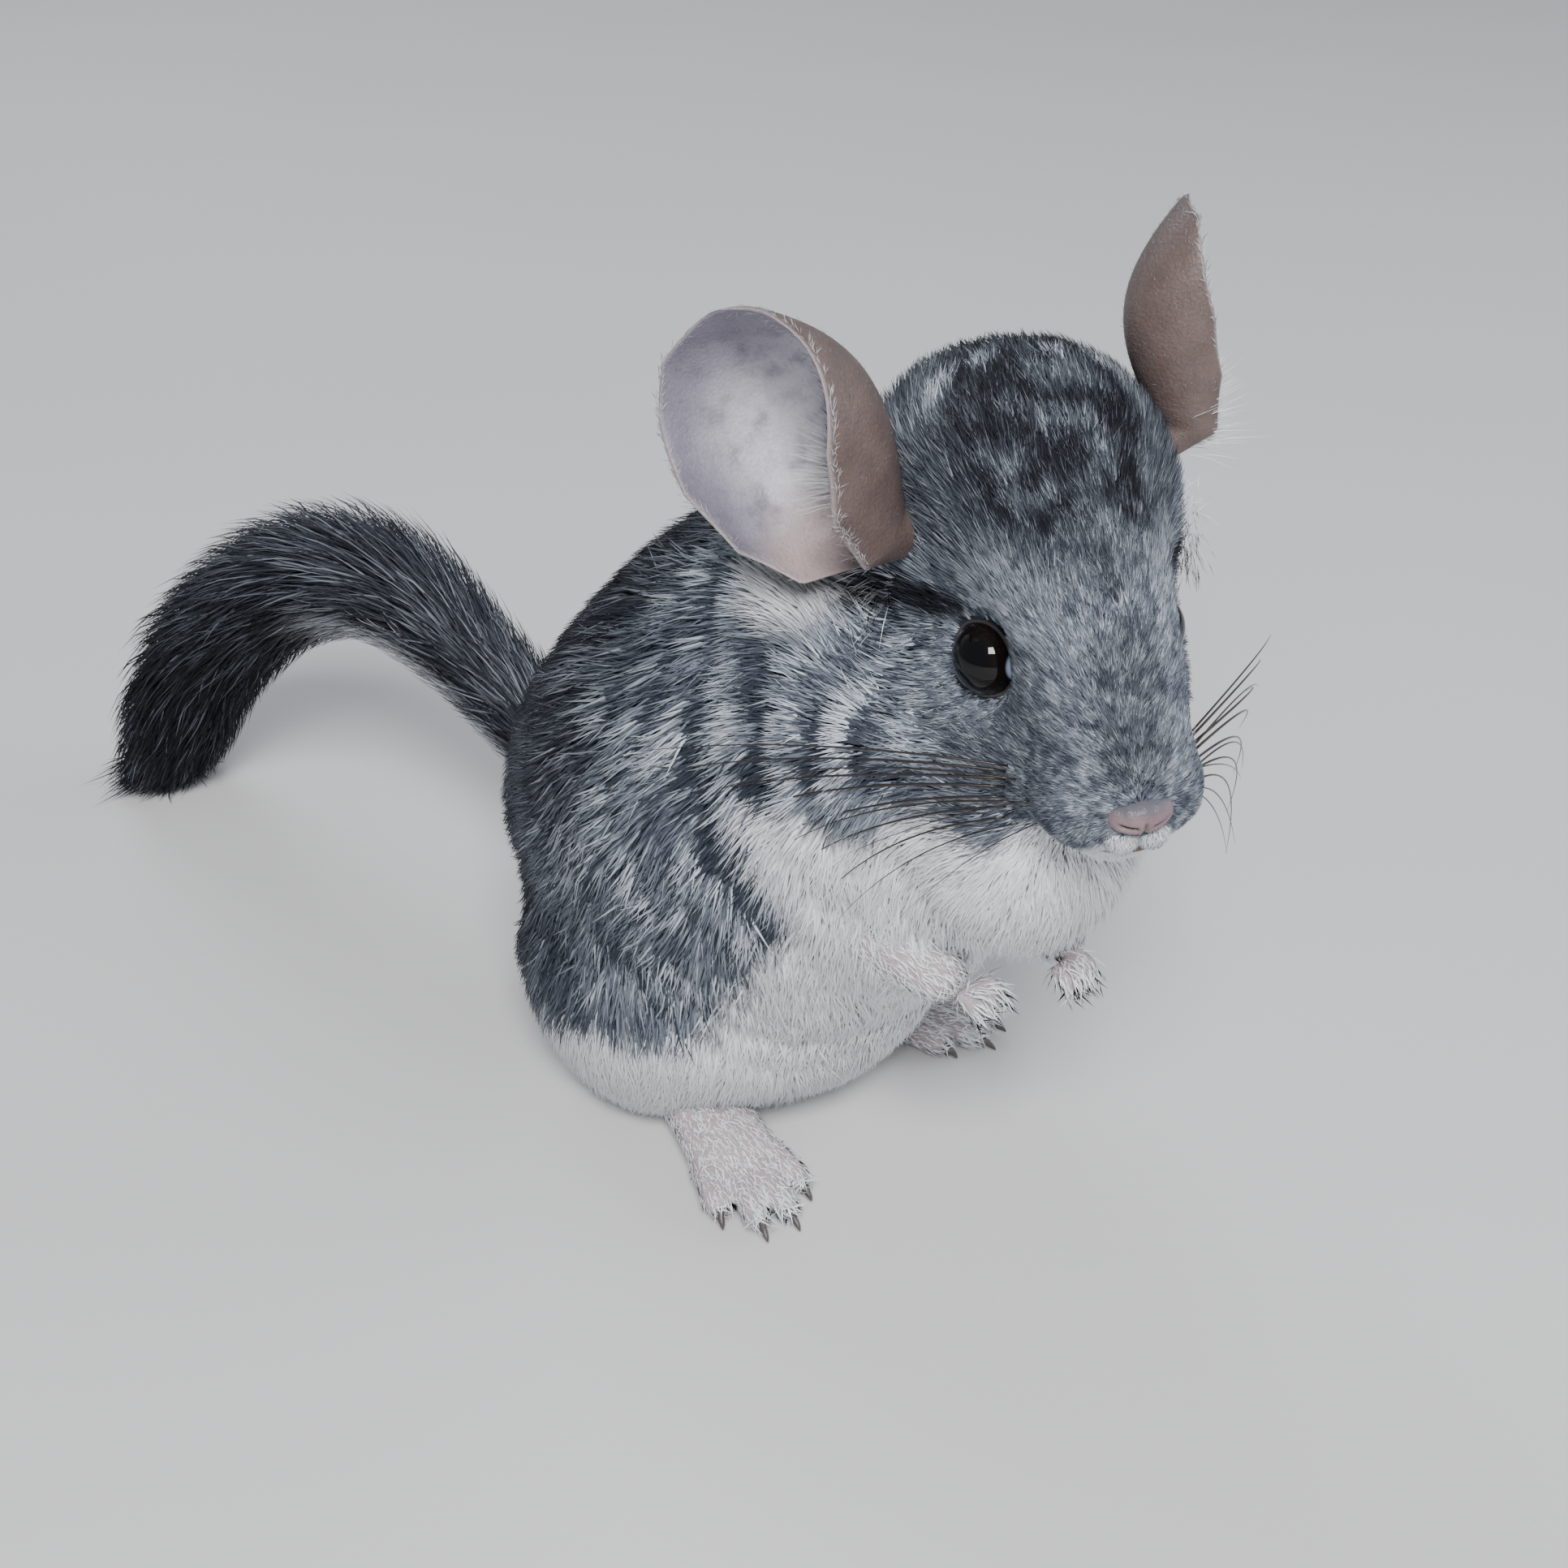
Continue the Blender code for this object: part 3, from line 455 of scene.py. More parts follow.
def body_grids():
    """The forms of the whole body without feet, forelegs, ears and tail."""
    grids = [sweep(TORSO, 72, 80, (0.08, 0.08)), ball(*BELLY, rings=40, spokes=60), ball(*BIB), ball(*CHEST)]
    for side in SIDES.values():
        (x, y, z), radii = THIGH
        grids.append(ball((x * side - 1, y, z), radii, rings=40, spokes=60))
        for middle, sizes in HEAD_PADS.values():
            grids.append(head_ball(middle, sizes, side))
    for table in (HEAD, JOWLS):
        rows = [(*from_head((forward, 0, up)), *sizes) for forward, up, *sizes in table]
        grids.append(sweep(rows, 72, 64, (0.05, 0.1), up=HEAD_AXES[2], squareness=2.1))
    grids += [head_ball(*CHIN), head_ball(*NOSE)]
    return grids


def foot_frame(side_name):
    """Heel on the floor, and the rows forward, outward and up of a hind foot."""
    side = SIDES[side_name]
    forward = np.array([side * math.sin(FOOT_TURN), -math.cos(FOOT_TURN), 0])
    outside = np.array([side * math.cos(FOOT_TURN), math.sin(FOOT_TURN), 0])
    return np.array([*HEELS[side_name], 0.0]), np.stack([forward, outside, UP])


def toe_rows(side_name, toe, rows):
    """Rows of a toe or claw in the animal's frame: share of its length, height, half width, half height."""
    heel, axes = foot_frame(side_name)
    offset, start, length, spread = toe
    lean = math.sin(math.radians(spread))
    made = []
    for share, up, wide, high in rows:
        place = np.array([start + share * length, offset + lean * share * length, up])
        made.append((*(heel + place @ axes), wide, high, high))
    return made


def foot_grids(side_name):
    """The sole and the four toes, each a swept form."""
    heel, axes = foot_frame(side_name)
    grids = [sweep([(*(heel + np.array(row[:3]) @ axes), *row[3:]) for row in SOLE], 30, 24, (0.15, 0.15))]
    for toe in HIND_TOES:
        rows = toe_rows(side_name, toe, ((-0.6, 3.6, 2.4, 2.4), (0.2, 4.0, 2.4, 2.6), (1, 2.8, 2.3, 2.5)))
        grids.append(sweep(rows, 20, 14, (0.15, 0.2)))
    return grids


def foreleg_grids(side_name):
    """A foreleg with its paw closed in a fist below the chest."""
    rows = FORELEGS[side_name]
    grids = [sweep(rows, 30, 24, (0.1, 0.12))]
    palm = np.array(rows[-1][:3])
    for offset in FINGERS:
        knuckle = palm + (offset, -1.5, 0.6)
        finger = [
            (*knuckle, 1.35, 1.3, 1.3),
            (*(knuckle + (0, -3.2, -0.8)), 1.25, 1.2, 1.2),
            (*(knuckle + (0.15 * offset, -4.2, -3.6)), 1.0, 1.0, 1.0),
        ]
        grids.append(sweep(finger, 16, 12, (0.15, 0.2), up=(0.0, -1.0, 0.2)))
    return grids


def set_orbits(points):
    """Draws the surface round each eye to a shallow orbit, SKIN_AT_EYE out from the eye's middle."""
    points = points.copy()
    for side in SIDES.values():
        out, radius, _ = about_eye(points, side)
        share = (1 - smooth_step(radius, LID_RADIUS - 1, ORBIT_RADIUS)) * (out > -2)
        points += (share * (SKIN_AT_EYE - out))[:, None] * eye_axis(side)
    return points


def head_share(points, softness=8.0):
    """1 on the head and 0 on the body, across the plane behind the ears and under the throat."""
    forward, _, up = to_head(points).T
    return smooth_step((forward + 18 + up + 6) * 0.707, -softness, softness)


def coat_surface():
    """The coat's outer surface on head and body: points, normals and triangles."""
    points, edges, faces = fused(body_grids(), BODY_CELL)
    share = 0.5 * mix(1.0, HEAD_EVENNESS, head_share(points))
    points = set_orbits(evened(points, edges, BODY_PASSES, share))
    points[:, 2] = np.maximum(points[:, 2], 0.0)
    normals = normals_of(points, faces, edges, 12)
    return dict(points=points, normals=normals, faces=faces)


def paw_surface():
    """The surface of the four paws: points, normals and triangles."""
    grids = [grid for name in SIDES for grid in foot_grids(name) + foreleg_grids(name)]
    points, edges, faces = fused(grids, PAW_CELL)
    points = evened(points, edges, PAW_PASSES, 0.5)
    points[:, 2] = np.maximum(points[:, 2], 0.0)
    return dict(points=points, normals=normals_of(points, faces, edges, 3), faces=faces)


# Places on the head from back to front, with the coat's depth and the hair's reach at each.
FACE_PLACES = (-32, -18, -4, 8, 18, 27, 30)
FACE_DEPTHS = (5.5, 4.0, 2.6, 1.8, 1.2, 0.8, 0.5)
FACE_REACHES = (9.0, 6.5, 4.6, 3.4, 2.8, 2.2, 1.6)


def coat_depth(points):
    """How far the skin lies inside the coat: least on the face and about the eyes, most on the back."""
    forward, _, up = to_head(points).T
    face = np.interp(forward, FACE_PLACES, FACE_DEPTHS)
    face = face + 2.0 * smooth_step(-up, 19, 27)
    body = np.interp(points[:, 2], (0, 12, 40), (2.0, 4.5, 6.5))
    depth = mix(body, face, head_share(points))
    for side in SIDES.values():
        out, radius, _ = about_eye(points, side)
        depth = np.where(out > -3, depth * mix(0.15, 1.0, smooth_step(radius, 6.5, 12)), depth)
    return depth


def hair_reach(points):
    """How far a tuft reaches along the skin, from its root to its tip."""
    forward, _, up = to_head(points).T
    face = np.interp(forward, FACE_PLACES, FACE_REACHES)
    face = face + 2.5 * smooth_step(-up, 19, 27)
    body = np.interp(points[:, 2], (0, 15, 40), (6.0, 8.5, 10.0))
    reach = mix(body, face, head_share(points))
    for side in SIDES.values():
        out, radius, _ = about_eye(points, side)
        reach = np.where(out > -3, reach * mix(0.4, 1.0, smooth_step(radius, 6.5, 12)), reach)
    return reach


def hair_lie(points, normals):
    """The way the hair lies: away from the nose on the head, backwards on the back and down on the belly."""
    from_nose = unit(to_head(points) - WHORL) @ HEAD_AXES
    belly = smooth_step((points - TRUNK_MIDDLE) @ BELLY_WAY, -20, 35)[:, None]
    trunk = BACKWARD * (1 - 0.75 * belly) - UP * (0.35 + 0.65 * belly)
    flow = mix(trunk, from_nose, head_share(points, 14)[:, None])
    for side in SIDES.values():
        out, radius, away = about_eye(points, side)
        near = (1 - smooth_step(radius, 7, 13)) * (out > -3)
        flow = flow + 0.9 * near[:, None] * away
    return unit(across_of(flow, normals))


# The middle of the left cheek in the head frame, mirrored for the right.
CHEEK = (12, 14, -8)


def cheek_distance(points):
    """Distance from the middle of the cheek on the same side: the folds of the coat circle it."""
    forward, left, up = to_head(points).T
    ahead, beside, above = CHEEK
    return np.sqrt((forward - ahead) ** 2 + (np.abs(left) - beside) ** 2 + (up - above) ** 2)


def fold_wave(points):
    """The folds of the coat behind the cheek and on the neck, as an angle that grows away from the cheek."""
    distance = cheek_distance(points)
    turns = distance / np.interp(distance, (20, 60), (4.8, 7.2))
    return 2 * np.pi * turns + 4.2 * cloud(points, 17, 11) + 1.5 * cloud(points, 7, 13)


def fold_share(points):
    """Where the folds are deep: on the cheeks, the neck and the shoulders, and broken up by noise."""
    distance = cheek_distance(points)
    _, left, up = to_head(points).T
    side = smooth_step(np.abs(left), 12, 24) * smooth_step(-up, -9, 0)
    reach = smooth_step(distance, 17, 27) * (1 - smooth_step(distance, 75, 105))
    return side * reach * np.clip(0.7 + 1.1 * cloud(points, 7, 12), 0.05, 1)


# The border of the white underside on the flank: heights, and how far back it reaches there.
WHITE_HEIGHTS = (0, 20, 30, 32, 36, 43, 51, 60, 65, 72, 79, 85, 92)
WHITE_BACKS = (40, 30, 10, -3, -13, -17, -22, -28, -34.5, -33.5, -31, -27.5, -24)
# The lip's line in the head frame: distance from the middle, and the height below which the coat is white.
LIP_SIDES = (0, 5, 9, 14, 20)
LIP_HEIGHTS = (-18.5, -19.5, -22.5, -25.5, -24.5)


def near_line(at, line, radius):
    """1 on a bent line of points and 0 further from it than the radius, for places in the same frame."""
    line = np.asarray(line, float)
    nearest = np.full(len(at), 1e9)
    for start, end in zip(line[:-1], line[1:]):
        way = end - start
        share = np.clip((at - start) @ way / (way @ way), 0, 1)
        nearest = np.minimum(nearest, np.linalg.norm(at - start - share[:, None] * way, axis=1))
    return 1 - smooth_step(nearest, 0.4 * radius, radius)


def markings(points):
    """How pale, dark and light-tipped the coat is at places on its surface, each from 0 to 1."""
    at = to_head(points)
    forward, left, up = at.T
    mirrored = np.stack([forward, np.abs(left), up], -1)
    ragged = 1.6 * cloud(points, 3.5, 21) + 2.0 * cloud(points, 9, 22)
    back = np.interp(points[:, 2], WHITE_HEIGHTS, WHITE_BACKS)
    lip = np.interp(np.abs(left), LIP_SIDES, LIP_HEIGHTS)
    lip = mix(-24.5, lip, smooth_step(forward, 4, 14))
    pale = smooth_step(back - points[:, 1] + ragged, -2.5, 2.5)
    pale *= smooth_step(lip - up + 0.4 * ragged, -1.2, 1.2)
    pale = np.maximum(pale, 0.9 * near_line(mirrored, [(29.0, 2.6, -17.0), (26.0, 5.0, -18.0)], 2.4))
    pale = np.maximum(pale, 0.8 * near_line(mirrored, [(-21, 33, 0), (-24, 34, 6)], 8.0))

    crown = smooth_step(up, 14, 22) * smooth_step(-forward, -18, -8)
    crown *= 1 - smooth_step(np.abs(left), 12, 21)
    crown *= np.clip(0.95 + 0.75 * cloud(points, 3.2, 23), 0, 1)
    trunk = smooth_step(points[:, 1] + 3 * cloud(points, 12, 24), -6, 8) * smooth_step(points[:, 2], 45, 85)
    spine = 1 - smooth_step(np.abs(points[:, 0]), 12, 34)
    rump = smooth_step(points[:, 1], 5, 40) * smooth_step(points[:, 2], 8, 40)
    back_dark = np.maximum(trunk * mix(0.75, 1.0, spine), 0.85 * rump) * (1 - head_share(points))
    streak = near_line(mirrored, [(-5, 16.0, 3.5), (-11, 19.5, 3.2), (-19, 27, -0.5)], 3.2)
    bridge = near_line(at, [(21, 0, 9), (27, 0, -4)], 7.0) * 0.55
    midline = near_line(at, [(6, -0.5, 27), (18, 0, 17)], 2.6) * 0.7
    forehead = 0.5 * smooth_step(up, 9, 15) * (1 - smooth_step(forward, 14, 20))
    dark = np.max([crown, back_dark, streak, bridge, midline, forehead], axis=0)

    brow = near_line(mirrored, [(2, 13, 10.5), (13, 9.5, 12.5)], 7.0) * 0.6
    spots = near_line(mirrored, [(-22.5, 14, 30.5), (-20, 16, 29)], 3.6)
    spots = np.maximum(spots, near_line(mirrored, [(-23, 5.5, 34.4), (-22, 6.5, 34)], 2.4))
    light = np.maximum(brow, 0.9 * spots)
    dark *= 1 - np.maximum(0.8 * brow, spots)
    return np.clip(np.stack([pale, dark * (1 - pale), light], -1), 0, 1)


def scattered(surface, weight, count, chance):
    """Places spread over the surface's triangles by area times weight, and the normals there."""
    corners = surface["points"][surface["faces"]]
    area = np.linalg.norm(np.cross(corners[:, 1] - corners[:, 0], corners[:, 2] - corners[:, 0]), axis=1)
    total = np.cumsum(area * weight[surface["faces"]].mean(axis=1))
    pick = np.searchsorted(total, total[-1] * (np.arange(count) + chance.random(count)) / count)
    pick = np.minimum(pick, len(area) - 1)
    first, second = np.sqrt(chance.random(count)), chance.random(count)
    shares = np.stack([1 - first, first * (1 - second), first * second], -1)[..., None]
    places = (corners[pick] * shares).sum(axis=1)
    normals = unit((surface["normals"][surface["faces"][pick]] * shares).sum(axis=1))
    return places, normals


def tuft_mesh(roots, bends, tips, normals, width, rings):
    """Points, triangles, shares along and patch places of closed tufts of hair with three sides.

    Each follows (1-t)^2 root + 2t(1-t) bend + t^2 tip, and is as wide as width times its share at each ring.
    """
    count = len(roots)
    layers, along, patch = [roots[:, None]], [0.0], [(0.0, -0.5)]
    for t, share in rings:
        line = (1 - t) ** 2 * roots + 2 * t * (1 - t) * bends + t**2 * tips
        ahead = unit((1 - t) * (bends - roots) + t * (tips - bends))
        beside = unit(np.cross(ahead, normals))
        above = np.cross(beside, ahead)
        size = (width * share)[:, None]
        around = np.cos(TUFT_CORNERS) * beside[:, None] + 0.6 * np.sin(TUFT_CORNERS) * above[:, None]
        layers.append(line[:, None] + size[:, None] * around)
        along += [t] * 3
        patch += [(0.0, t - 0.5), (-0.5, t - 0.5), (0.5, t - 0.5)]
    layers.append(tips[:, None])
    along.append(1.0)
    patch.append((0.0, 0.5))
    points = np.concatenate(layers, axis=1)
    number = points.shape[1]
    faces = []
    for place in range(3):
        following = (place + 1) % 3
        faces.append((0, 1 + following, 1 + place))
        for ring in range(len(rings) - 1):
            a, b = 1 + 3 * ring + place, 1 + 3 * ring + following
            faces += [(a, b, b + 3), (a, b + 3, a + 3)]
        faces.append((number - 1, number - 4 + place, number - 4 + following))
    faces = (np.arange(count)[:, None, None] * number + np.array(faces)).reshape(-1, 3)
    _, faces = outward(points.reshape(-1, 3), faces)
    return points, faces, np.array(along), np.array(patch)


def tuft_object(name, tufts, rings, marks, shades, unwrap):
    """Object of tufts with what its material reads, and a map OFBake with a patch at each root's place."""
    points, faces, along, patch = tuft_mesh(*tufts, rings)
    count, number = points.shape[:2]
    points[..., 2] = np.maximum(points[..., 2], 0.02)
    obj = mesh_object(name, points.reshape(-1, 3), faces)
    own = read(obj.data.vertex_normals, "vector", 3)
    soft = unit(mix(own, np.repeat(tufts[3], number, axis=0), SOFTNESS))
    obj.data.normals_split_custom_set_from_vertices(soft)
    hair = np.zeros((count, number, 3))
    hair[..., 0] = along
    hair[..., 1] = shades[:, None]
    set_vectors(obj, "hair", hair.reshape(-1, 3))
    set_vectors(obj, "marks", np.repeat(marks, number, axis=0))
    places = np.clip(unwrap, PATCH, 1 - PATCH)[:, None] + PATCH * patch
    layer = obj.data.uv_layers.new(name="OFBake")
    layer.uv.foreach_set("vector", places.reshape(-1, 2)[faces].astype(np.float32).ravel())
    return obj


def in_pieces(name, order, rings, unwrap, arrays):
    """The tufts as objects, split evenly in the given order so that no piece passes MOST_TRIANGLES."""
    tufts, marks, shades = arrays
    most = MOST_TRIANGLES // (6 * len(rings))
    ranks = np.array_split(np.argsort(order), math.ceil(len(order) / most))
    made = []
    for piece, rank in enumerate(ranks):
        place = unwrap[rank].copy()
        low, high = place[:, 1].min(), place[:, 1].max()
        place[:, 1] = (place[:, 1] - low) / max(high - low, 1e-6)
        chosen = [array[rank] for array in tufts]
        label = f"{name}_{piece + 1}" if len(ranks) > 1 else name
        made.append(tuft_object(label, chosen, rings, marks[rank], shades[rank], place))
    return made


def head_unwrap(points):
    """Turn about the head's forward axis and angle from it, each over its whole range."""
    away = to_head(points) - (-8, 0, -2)
    turn = np.arctan2(away[:, 1], away[:, 2]) / (2 * np.pi) + 0.5
    return np.stack([turn, np.arccos(np.clip(unit(away)[:, 0], -1, 1)) / np.pi], -1)


def trunk_unwrap(points):
    """Turn about the trunk's axis, and the place along it."""
    away = points - TRUNK_MIDDLE
    turn = np.arctan2(away[:, 0], away @ BELLY_WAY) / (2 * np.pi) + 0.5
    return np.stack([turn, away @ BACKWARD], -1)


def grow_coat(surface):
    """The tufts of head and body, rooted in the skin with their tips at the coat's surface."""
    chance = np.random.default_rng(7)
    outer = surface["points"]
    reach = hair_reach(outer)
    weight = 1 / (reach * (0.06 + 0.022 * reach))
    weight *= mix(0.25, 1.0, smooth_step(outer[:, 2] - 8 * surface["normals"][:, 2], 4, 14))
    for side in SIDES.values():
        out, radius, _ = about_eye(outer, side)
        weight = np.where((radius < LID_RADIUS) & (out > -3), 0, weight)
    places, normals = scattered(surface, weight, BODY_TUFTS, chance)
    count = len(places)
    depth = coat_depth(places)
    reach = hair_reach(places) * chance.uniform(0.75, 1.2, count)
    lie = hair_lie(places, normals)
    swing = 0.20 * chance.standard_normal(count) + 0.45 * cloud(places, 11, 1)
    beside = np.cross(normals, lie)
    lie = np.cos(swing)[:, None] * lie + np.sin(swing)[:, None] * beside
    on_head = head_share(places)

    wave, folded = fold_wave(places), fold_share(places)
    ahead = unit(across_of(slope(cheek_distance, places), normals))
    clump_size = np.where(on_head > 0.5, 2.4, 5.0)
    gather = np.where(on_head[:, None] > 0.5, slope(lambda at: cloud(at, 2.4, 2), places), 0)
    gather = np.where(on_head[:, None] > 0.5, gather, slope(lambda at: cloud(at, 5.0, 3), places))
    gather = across_of(gather, normals) * (clump_size * 0.13 * reach)[:, None]
    shift = gather - (1.6 * folded * np.sin(wave))[:, None] * ahead
    round_off = reach**2 / mix(90.0, 50.0, on_head)
    height = depth * chance.uniform(0.8, 1.08, count) + 0.7 * folded * np.cos(wave)
    height -= np.minimum(round_off, 0.5 * depth)
    roots = places - (depth + 0.5)[:, None] * normals
    tips = places + (height - depth)[:, None] * normals + reach[:, None] * lie + shift
    tips[:, 2] = np.maximum(tips[:, 2], 0.2)
    bends = roots + (0.25 * reach)[:, None] * lie + (0.5 + height)[:, None] * normals + 0.4 * shift
    bends[:, 2] = np.maximum(bends[:, 2], 0.4)
    width = (0.06 + 0.022 * reach) * chance.uniform(0.75, 1.25, count)

    marks = markings(places)
    fleck = mix(0.40 * cloud(places, 1.5, 4), 0.42 * cloud(places, 0.8, 6), on_head)
    ticking = mix(0.42, 0.50, on_head) + fleck + mix(0.14, 0.20, on_head) * chance.standard_normal(count)
    ticking += mix(0.26, 0.10, on_head) * cloud(places, 4.5, 5) + 0.35 * marks[:, 2]
    # Painted shade: the folds' valleys are darkened and their crests lightened, partly the coat's own pale
    # bands and partly painted shade in the valleys.
    ticking += 0.68 * folded * (np.cos(wave) - 0.1)
    tufts = (roots, bends, tips, normals, width)
    made = []
    on_body = on_head <= 0.5
    for name, here, unwrap in (("coat_head", ~on_body, head_unwrap), ("coat_body", on_body, trunk_unwrap)):
        flat = unwrap(places[here])
        chosen = ([array[here] for array in tufts], marks[here], ticking[here])
        made += in_pieces(name, flat[:, 1], ((0.5, 1.0),), flat, chosen)
    return made


def limbs():
    """For each paw its start, direction and length, from the heel or the elbow to the tips of the toes."""
    found = []
    for name in SIDES:
        heel, axes = foot_frame(name)
        found.append((heel + UP * 5, axes[0], FOOT_LENGTH))
        start, end = (np.array(FORELEGS[name][row][:3], float) for row in (0, -1))
        found.append((start, unit(end - start), np.linalg.norm(end - start) + 6))
    return found


def grow_paws(surface):
    """Short hair on the paws, laid towards the toes, and longer over the claws."""
    chance = np.random.default_rng(8)
    weight = mix(0.1, 1.0, smooth_step(surface["points"][:, 2], 0.5, 2.5))
    places, normals = scattered(surface, weight, PAW_TUFTS, chance)
    gaps = [np.abs(across_of(places - start, way[None])).sum(axis=1) for start, way, _ in limbs()]
    owner = np.argmin(gaps, axis=0)
    starts, ways, lengths = (np.array(column)[owner] for column in zip(*limbs()))
    along = ((places - starts) * ways).sum(axis=1) / lengths
    turn = np.arctan2(*((places - starts) @ np.stack([UP, np.cross(UP, (0, 1, 0))], -1)).T)
    unwrap = np.stack([(owner + turn / (2 * np.pi) + 0.5) / 4, along], -1)
    lie = unit(across_of(ways + 0.35 * chance.standard_normal((len(places), 3)), normals))
    reach = chance.uniform(1.6, 3.2, len(places)) * mix(1.0, 1.5, smooth_step(along, 0.78, 0.95))
    roots = places - 0.25 * normals
    tips = places + reach[:, None] * lie + 0.45 * normals
    tips[:, 2] = np.maximum(tips[:, 2], 0.15)
    bends = places + 0.4 * reach[:, None] * lie + 0.55 * normals
    marks = np.zeros((len(places), 3))
    marks[:, 0] = 0.9
    ticking = 0.5 + 0.3 * chance.standard_normal(len(places))
    arrays = ((roots, bends, tips, normals, 0.05 + 0.04 * reach), marks, ticking)
    made = []
    for name, which in (("coat_feet", (0, 2)), ("coat_forepaws", (1, 3))):
        here = np.isin(owner, which)
        tufts, *rest = arrays
        chosen = ([array[here] for array in tufts], *(array[here] for array in rest))
        made += in_pieces(name, unwrap[here, 1], ((0.45, 1.0),), unwrap[here], chosen)
    return made


def tail_point(share, angle, depth):
    """Points of the tail at shares of its length, angles round it and shares of the hair's depth."""
    row, ahead = by_length(TAIL, np.clip(share, 0, 1))
    side = unit(np.cross(ahead, UP))
    above = np.cross(side, ahead)
    high = np.where(np.sin(angle) >= 0, row[:, 4], row[:, 5])
    out = (row[:, 3] * np.cos(angle))[:, None] * side + (high * np.sin(angle))[:, None] * above
    beyond = np.maximum(share - 1, 0)[:, None] * TAIL_LENGTH * ahead
    return row[:, :3] + np.asarray(depth)[:, None] * out + beyond, unit(out)


def tail_marks(share, angle):
    """The tail is dark, pale grey on its underside near the root, and lighter on top of its arch with a
    painted highlight.
    """
    under = smooth_step(-np.sin(angle), -0.1, 0.5) * (1 - smooth_step(share, 0.36, 0.52))
    # Painted highlight: the upper side of the tail, from its root over the top of the arch, is made lighter
    # and less dark.
    light = 0.5 * smooth_step(np.sin(angle), 0.0, 0.8) * (1 - smooth_step(share, 0.55, 0.75))
    dark = 1 - 0.9 * under - 0.35 * light
    return np.stack([0.32 * under, dark, 0.3 * light], -1)


def grow_tail():
    """Long bristles that lean along the tail from its core and stand out most on top of the arch."""
    chance = np.random.default_rng(9)
    share = chance.random(TAIL_TUFTS) ** 0.9 * 0.95
    angle = chance.uniform(0, 2 * np.pi, TAIL_TUFTS)
    roots, normals = tail_point(share, angle, np.full(TAIL_TUFTS, 0.9 * TAIL_CORE))
    length = np.interp(share, (0, 0.2, 0.45, 0.8, 1), (0.05, 0.065, 0.095, 0.11, 0.085))
    length *= chance.uniform(0.65, 1.15, TAIL_TUFTS)
    swing = chance.normal(0, 0.22, TAIL_TUFTS) + 0.35 * cloud(roots, 9, 31)
    on_top = smooth_step(np.sin(angle), -0.2, 0.7)
    reach = chance.uniform(0.66, 1.02, TAIL_TUFTS) + 0.30 * on_top * chance.random(TAIL_TUFTS)
    tips, _ = tail_point(share + length, angle + swing, reach)
    bends, _ = tail_point(share + 0.30 * length, angle + 0.4 * swing, mix(TAIL_CORE, reach, 0.85))
    below = np.maximum(1.5 - tips[:, 2], 0)[:, None]
    tips += below * (0.45 * across_of(normals, UP) + 0.25 * chance.standard_normal((TAIL_TUFTS, 3)))
    tips[:, 2] = np.maximum(tips[:, 2], 0.3 + 2.2 * chance.random(TAIL_TUFTS) ** 2)
    bends[:, 2] = np.maximum(bends[:, 2], 1.0)
    width = chance.uniform(0.14, 0.27, TAIL_TUFTS)
    ticking = 0.5 + 0.28 * chance.standard_normal(TAIL_TUFTS) + 0.2 * cloud(roots, 5, 32)
    unwrap = np.stack([angle / (2 * np.pi), share], -1)
    arrays = ((roots, bends, tips, normals, width), tail_marks(share, angle), ticking)
    return in_pieces("coat_tail", share, ((0.35, 1.0), (0.72, 0.7)), unwrap, arrays)


def tail_core():
    """The tail's skin: the hair's outline drawn in to its core."""
    rows = [(*row[:3], *(TAIL_CORE * size for size in row[3:])) for row in TAIL]
    rows[-1] = (*(0.5 * (np.array(rows[-1][:3]) + rows[-2][:3])), *rows[-1][3:])
    points, faces = closed_grid(sweep(rows, 120, 32, (0.05, 0.12)))
    points[:, 2] = np.maximum(points[:, 2], 0.3)
    return points, faces


def build_skin(coat, paws):
    """One skin for head, body, paws and tail, inside the coat's surface by the coat's depth."""
    inner = coat["points"] - coat_depth(coat["points"])[:, None] * coat["normals"]
    inner[:, 2] = np.maximum(inner[:, 2], 0.0)
    tail = tail_core()
    obj = mesh_object("skin", *merged([(inner, coat["faces"]), (paws["points"], paws["faces"]), tail]))
    on_paws = np.tile((0.9, 0.0, 0.0), (len(paws["points"]), 1))
    on_tail = np.tile((0.0, 1.0, 0.0), (len(tail[0]), 1))
    set_vectors(obj, "marks", np.concatenate([markings(coat["points"]), on_paws, on_tail]))
    bare = np.zeros((len(obj.data.vertices), 3))
    bare[len(inner) : len(inner) + len(on_paws), 0] = 1.0
    set_vectors(obj, "bare", bare)
    return obj


